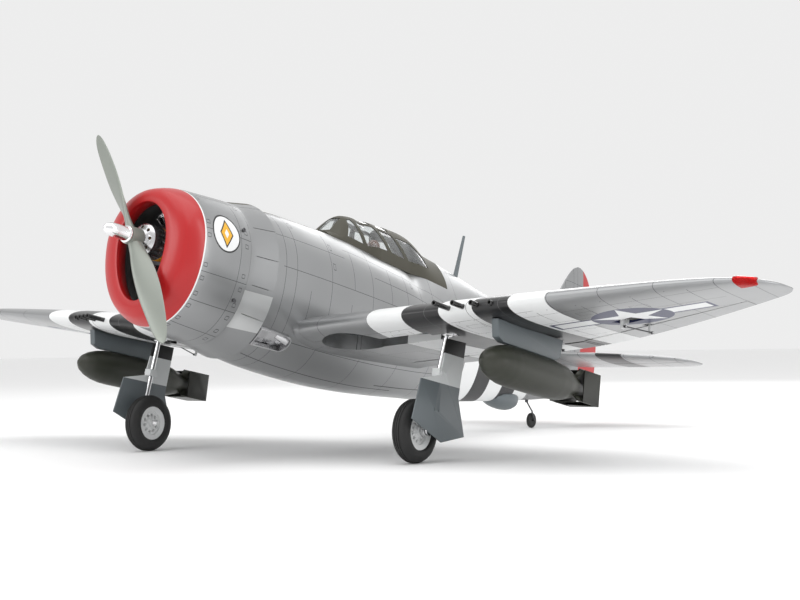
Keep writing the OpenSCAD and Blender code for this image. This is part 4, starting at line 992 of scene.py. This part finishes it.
def hinge_tabs(frame_at, places):
    # fixed side of each hinge: a tab with a cross pin
    made = []
    for x in places:
        made.append(block((x - TAB_W / 2, -TAB_BACK, -TAB_T / 2), (x + TAB_W / 2, 0, TAB_T / 2), frame_at))
        made.append(rod((x - 1.5 * KNUCKLE_W, 0, 0), (x + 1.5 * KNUCKLE_W, 0, 0), PIN_R, 20, place=frame_at))
    return made


def hinge_notches(frame_at, places):
    across, back = 5.8, KNUCKLE_R + 0.6
    return [block((x - across, -back, -back), (x + across, 3, back), frame_at) for x in places]


def well_shape(grow):
    # round for the wheel, a bay for the strut and a pocket for the retract unit
    low, high = -140, -20
    return fused(rod((*WHEEL_UP, low), (*WHEEL_UP, high), WELL_R + grow, 72),
                 block((WHEEL_UP[0], 350 - grow, low), (BAY_END, 400 + grow, high)),
                 block((290, 367.7 - grow, low), (332 + grow, 392.3 + grow, high)))


def build_wing():
    skin = cut(lofted(wing_rings()), strip(-10, STUB + 0.3),
               slot(AILERON, 440, *AILERON_X), slot(FLAP, 400, *FLAP_X),
               block((AILERON_HORN - 5, -ARM_BACK - 15, -40), (AILERON_HORN + 35, -ARM_BACK + 15, 6), AILERON),
               block((FLAP_HORN + 1, -96, -40), (FLAP_HORN + 9, -18, 4), FLAP),
               block((AILERON_HORN - 3, -12, -40), (AILERON_HORN + 9, 2, 4), AILERON),
               block((FLAP_HORN - 3, -20, -40), (FLAP_HORN + 9, 2, 4), FLAP))
    skin = cut(skin, *hinge_notches(AILERON, AILERON_HINGES), *hinge_notches(FLAP, FLAP_HINGES))
    skin = cut(skin, common(lofted(wing_rings(-2.8)), well_shape(0)),
               common(block((0, 0, -200), (900, 900, ROOT_Z + 6)), well_shape(0)))
    for x in GUNS:
        skin = cut(skin, rod((x, 200, chord_z(x) + 1), (x, 310, chord_z(x) + 1), GUN_HOLE_R, 32))
    # painted shade: a dark grey sheet inside each wheel well, so the wells look shaded
    well_shade_sheet = cut(common(lofted(wing_rings(-2.2)), well_shape(0.2)),
                common(lofted(wing_rings(-3.0)), well_shape(-0.6)),
                block((0, 0, -200), (900, 900, ROOT_Z + 8)))
    piece(other_side(well_shade_sheet), "right_well_painted_shade", painted_shade_grey, crease=32)
    piece(well_shade_sheet, "left_well_painted_shade", painted_shade_grey, crease=32)
    joints = gather(*hinge_tabs(AILERON, AILERON_HINGES), *hinge_tabs(FLAP, FLAP_HINGES))
    piece(other_side(joints), "right_hinge_tabs", white_nylon, bevel=0.15)
    piece(joints, "left_hinge_tabs", white_nylon, bevel=0.15)
    piece(other_side(skin), "right_wing_skin", wing_silver, nodes=["wing_right"], crease=32)
    piece(skin, "left_wing_skin", wing_silver, nodes=["wing_left"], crease=32)


def bevelled_nose(frame_at, length, above, below):
    rise = 60
    points = [(0, 0), (rise * tan(radians(above)), rise), (150, rise), (150, -rise),
              (rise * tan(radians(below)), -rise)]
    return prism(points, -60, length, place=frame_at)


def knuckles(frame_at, places):
    half = KNUCKLE_W / 2 - 0.3
    return [rod((x + e * KNUCKLE_W - half, 0, 0), (x + e * KNUCKLE_W + half, 0, 0), KNUCKLE_R, 24,
                place=frame_at) for x in places for e in (-1, 1)]


def knuckle_room(frame_at, places):
    bores = ((1.6 * KNUCKLE_W, PIN_R + FIT), (TAB_W / 2 + 0.2, KNUCKLE_R + 0.1))
    return [rod((x - w, 0, 0), (x + w, 0, 0), r, 24, place=frame_at) for x in places for w, r in bores]


def horn(frame_at, x):
    outline = [(1, -3), (7, -3), (5.4, -HORN_R + 1), (4.6, -HORN_R - 2.2), (3, -HORN_R - 3),
               (1.4, -HORN_R - 2.2), (1, -HORN_R)]
    plate = prism(outline, x - 1.5, x + 1.5, place=frame_at)
    pin = rod((x - 2.6, 3, -HORN_R), (x + 7.5, 3, -HORN_R), PIN_R, 20, place=frame_at)
    return plate, pin


def build_surface(name, frame_at, x0, x1, length, above, below, places, horn_x):
    flap = common(common(lofted(wing_rings()), bevelled_nose(frame_at, length, above, below)), strip(x0, x1))
    flap = cut(fused(flap, *knuckles(frame_at, places)), *knuckle_room(frame_at, places))
    arm = gather(*horn(frame_at, horn_x))
    for side in ("right", "left"):
        body = name + "_" + side
        a, b = (other_side(flap), other_side(arm)) if side == "right" else (flap, arm)
        piece(a, body + "_skin", wing_silver, body, [body], crease=26)
        piece(b, body + "_horn", white_nylon, body, bevel=0.3)


def fin_ring(row):
    z, le, te = row
    return section([0, le, te, 0.085], lambda y, h: (h, y, z), cam=0)


FIN_LOW = [[-31, 1352, 1370], [-22, 1335, 1398], [-5, 1332, 1430], [15, 1332, 1447], [41, 1332, 1455]]
FIN = [[90, 1182, 1455], [130, 1215, 1448], [165, 1246, 1436], [197, 1272, 1422], [225, 1294, 1407],
       [244, 1312, 1391], [256, 1328, 1374], [262, 1343, 1357]]
RUDDER_PLACE = Matrix.Translation((0, RUDDER_Y, 0)) @ Matrix.Rotation(-pi / 2, 4, "Y")


def fin_shape():
    return lofted([fin_ring(r) for r in smooth_rows(FIN_LOW + FIN, 6)])


def build_fin():
    skin = cut(fin_shape(), behind(RUDDER_Y - GAP), block((-20, 1300, -60), (20, 1360, 50)))
    skin = cut(skin, *hinge_notches(RUDDER_PLACE, RUDDER_HINGES))
    piece(skin, "fin_skin", fin_silver, nodes=["fin"], crease=30)
    piece(gather(*hinge_tabs(RUDDER_PLACE, RUDDER_HINGES)), "fin_hinge_tabs", white_nylon, bevel=0.15)
    skin = common(fin_shape(), bevelled_nose(RUDDER_PLACE, 300, RUDDER_SWING, RUDDER_SWING))
    skin = cut(fused(skin, *knuckles(RUDDER_PLACE, RUDDER_HINGES)), *knuckle_room(RUDDER_PLACE, RUDDER_HINGES))
    piece(skin, "rudder_skin", rudder_red, "rudder", ["rudder"], crease=26)
    arm = gather(block((2, RUDDER_Y + 2, 1), (23, RUDDER_Y + 7, 3)),
                 rod((20, RUDDER_Y + 3, -2), (20, RUDDER_Y + 3, 6), PIN_R, 20))
    piece(arm, "rudder_horn", white_nylon, "rudder", bevel=0.3)


TAIL = [[0, 1150, 1338], [90, 1166, 1340], [180, 1187, 1340], [250, 1210, 1337], [296, 1236, 1331],
        [320, 1262, 1322], [332, 1292, 1309]]


def tail_shape():
    rows = smooth_rows(TAIL, 6)
    rows = [[-r[0], *r[1:]] for r in reversed(rows[1:])] + rows
    return lofted([section([0, r[1], r[2], 0.09], lambda y, h, x=r[0]: (x, y, TAIL_Z + h), cam=0)
                   for r in rows])


def build_tail():
    skin = cut(tail_shape(), behind(ELEVATOR_Y - GAP),
               block((-32, ELEVATOR_Y - 9, 15), (-28, ELEVATOR_Y + 1, TAIL_Z)),
               rod((-60, ELEVATOR_Y, TAIL_Z), (60, ELEVATOR_Y, TAIL_Z), JOINER_R + 1))
    piece(skin, "tailplane_skin", tail_silver, nodes=["tailplane"], crease=30)
    halves = []
    for side in (1, -1):
        place = Matrix.Diagonal((side, 1, 1, 1)) @ Matrix.Translation((60 + ELEVATOR_X, ELEVATOR_Y, TAIL_Z))
        halves.append(common(tail_shape(), bevelled_nose(place, 340, ELEVATOR_SWING, ELEVATOR_SWING)))
    piece(gather(*halves), "elevator_skins", tail_silver, "elevators", ["elevators"], crease=26)
    parts = [rod((-50, ELEVATOR_Y, TAIL_Z), (50, ELEVATOR_Y, TAIL_Z), JOINER_R, 24),
             block((-31, ELEVATOR_Y + 1, 10), (-29, ELEVATOR_Y + 6, 26)),
             rod((-34, ELEVATOR_Y + 3, 12), (-26, ELEVATOR_Y + 3, 12), PIN_R, 20)]
    piece(gather(*parts), "elevator_joiner", dark_metal, "elevators", bevel=0.25)


CANOPY = [[400, 100, 110.3, 2.1], [424, 98.6, 114, 2.1], [432, 98.4, 119, 2.1], [457, 97.8, 148, 1.9],
          [484, 97, 157, 1.9], [520, 96, 159, 1.95], [538, 88, 160.5, 1.95], [580, 87.6, 163, 1.95],
          [640, 87, 164.5, 1.9], [672, 86.5, 159, 1.75], [708, 86, 146.5, 1.5], [740, 85.5, 142, 1.35],
          [770.6, 85, 139.5, 1.32]]
WINDOWS = [[(453, 111), (468, 146), (480, 149), (503, 109)], [(491, 147), (537, 149), (567, 111), (515, 109)],
           [(549, 148), (592, 148), (624, 110), (580, 111)],
           [(604, 146), (652, 148), (690, 128), (704, 110), (640, 110)]]


def canopy_ring(row, inset):
    y, _, top, n = row
    low = row_at(RAIL, y)[1]
    w = side_at(HULL, y, low) - inset
    base = low + 0.3
    h = top - base - inset
    drop = 1 if inset > 0 else 0
    count = 56
    return [(w * signed_power(cos(pi * i / count), 2 / n), y,
             base - drop + h * signed_power(sin(pi * i / count), 2 / n)) for i in range(count + 1)]


def canopy_shape(inset):
    # a deep inset leaves out the end rows, so that both ends keep their walls
    rows = CANOPY[1:-1] if inset >= 1 else CANOPY
    return lofted([canopy_ring(r, inset) for r in smooth_rows(rows, 5)])


def window_tools(shrink):
    tools = []
    for w in WINDOWS:
        mid = Vector((sum(p[0] for p in w) / len(w), sum(p[1] for p in w) / len(w)))
        pts = [tuple(Vector(p) + (mid - Vector(p)).normalized() * shrink * 1.2) for p in w]
        tools.append(prism(pts, -60, 60))
    for y in (500, 553):
        tools.append(block((-22 + shrink, y + shrink, 152.5), (22 - shrink, y + 36 - shrink, 192.5)))
    tools.append(block((-13 + shrink, 400, 119 + shrink), (13 - shrink, 464, 146 - shrink)))
    return tools


def build_canopy():
    skin = cut(canopy_shape(0), canopy_shape(2), *window_tools(0))
    piece(skin, "canopy_frame_skin", olive_paint, "canopy_hatch", ["canopy_frame"], crease=38)
    panes = cut(canopy_shape(0.3), canopy_shape(1.5))
    panes = common(panes, gather(*window_tools(0.2)))
    piece(panes, "canopy_panes", clear_plastic, "canopy_hatch", ["canopy_glazing"], crease=30)
    recast("cockpit_tub", cockpit_green, bevel=0.4)
    recast("pilot_figure", flight_jacket, crease=40)


def blade():
    # rows: radius, chord, pitch, thickness, lean
    count = 40
    rows = [[9, 21, 62, 13, 0], [30, 25, 50, 9, 0], [60, 33, 36, 6.5, -1], [100, 36, 25, 4.8, -3],
            [140, 31, 19, 3.6, -5], [168, 24, 16, 2.6, -7], [183, 16, 15, 2, -8], [PROP_R, 6, 14, 1.4, -8]]
    rings = []
    for r, chord, pitch, thick, lean in smooth_rows(rows, 6):
        p, one = radians(pitch), []
        for i in range(count):
            a = 2 * pi * i / count
            u, v = chord / 2 * cos(a), thick / 2 * sin(a) * (1 + 0.35 * cos(a))
            one.append((u * cos(p) + v * sin(p), lean - u * sin(p) + v * cos(p), r))
        rings.append(one)
    return lofted(rings)


def build_propeller():
    hub = rod((0, -HUB_HALF, 0), (0, HUB_HALF, 0), HUB_R, 64)
    for turn in (0, pi):
        half = blade()
        half.data.transform(Matrix.Rotation(PROP_RAKE + turn, 4, "Y"))
        hub = fused(hub, half)
    hub = common(hub, rod((0, -50, 0), (0, 50, 0), PROP_R, 128))
    hub = cut(hub, rod((0, -60, 0), (0, 60, 0), SHAFT_R + FIT, 32))
    piece(hub, "propeller_blades", blade_grey, "propeller", ["propeller"], crease=40)
    recast("spinner_nut", chrome, crease=24, bevel=0.3)
    recast("motor_bell", cast_silver, crease=35, bevel=0.3)
    recast("motor_stator", winding, bevel=0.2)
    recast("motor_mount", dark_metal, bevel=0.4)
    recast("dummy_crankcase", cast_silver, bevel=0.5)
    recast("dummy_cylinders", chrome, crease=30)


def tyre_profile():
    w, rim = 15, 27.3
    side = [(rim, 0), (rim, 7), (rim + 2, 11), (31, w - 1), (33, w - 0.2), (35, w), (38, w - 0.3), (40, w - 1),
            (43, w - 3), (46, w - 5), (47.4, w - 7.4), (48.4, w - 10)]
    tread = [(48.9, 4.6), (47.9, 4.4), (47.9, 3.4), (48.9, 3.2), (49, 0.8), (48, 0.6), (48, 0)]
    half = side[1:] + tread
    return [(a, -b) for a, b in half] + [(a, b) for a, b in reversed(half)] + [(half[0][0], -half[0][1])]


def build_gear():
    for side in ("left", "right"):
        sign = 1 if side == "left" else -1
        out, back, up = WHEEL_CENTRE
        place = Matrix.Translation((sign * out, back, up)) @ Matrix.Rotation(pi / 2, 4, "Y")
        tyre = turned(tyre_profile(), place, 96)
        piece(tyre, "tyre_" + side + "_rubber", rubber, "wheel_" + side, ["tyre_" + side], crease=28)
        recast("hub_" + side, white_nylon, bevel=0.35)
        recast("strut_" + side, chrome, bevel=0.3)
        recast("gear_door_" + side, door_paint, bevel=0.25)


def door_finish():
    f = Finish("gear_door_paint", SLATE, 0.45, 0.1, coat=0.05)
    n = f.n
    f.layer(n.math("GREATER_THAN", f.z, -160), (0.66, 0.68, 0.68), 0.4, 0)
    f.layer(n.math("GREATER_THAN", f.z, -112), (0.02, 0.02, 0.02), 0.4, 0)
    return f.done()


door_paint = door_finish()
build_cowl()
build_petals()
build_wing()
build_surface("aileron", AILERON, AILERON_X[0] + SWEPT_PLAY, AILERON_X[1], 440, AILERON_SWING, AILERON_SWING,
              AILERON_HINGES, AILERON_HORN)
build_surface("flap", FLAP, FLAP_X[0], FLAP_X[1] - SWEPT_PLAY, 400, 4, FLAP_SWING, FLAP_HINGES, FLAP_HORN)
build_fin()
build_tail()
build_canopy()
build_propeller()
build_gear()

PLAIN = {
    "firewall": (plywood, 0.3), "equipment_tray": (plywood, 0.3), "battery_pack": (wrap_blue, 1.5),
    "speed_controller": (board_red, 1.2), "receiver": (satin_black, 0.8), "tail_servos": (satin_black, 0.6),
    "antenna_mast": (slate_paint, 0.3), "turbo_fairing": (slate_paint, 0), "exhaust_outlets": (cast_silver, 0.3),
    "wing_tube": (dark_metal, 0.3), "gun_barrels": (gloss_black, 0.3), "nav_light_left": (red_lens, 0),
    "nav_light_right": (green_lens, 0), "pylons": (slate_paint, 0.8), "bombs": (bomb_olive, 0.3),
    "wing_servos": (satin_black, 0.5), "retract_frames": (cast_silver, 0.6), "tail_strut": (dark_metal, 0.2),
    "tail_wheel": (rubber, 0.2), "rudder_rod": (dark_metal, 0.1), "elevator_rod": (dark_metal, 0.1)}
for node, (material, bevel) in PLAIN.items():
    recast(node, material, bevel=bevel)
for side in ("left", "right"):
    recast("aileron_arm_" + side, white_nylon, bevel=0.3)
    recast("aileron_rod_" + side, dark_metal, bevel=0.1)
    recast("flap_rod_" + side, dark_metal, bevel=0.1)
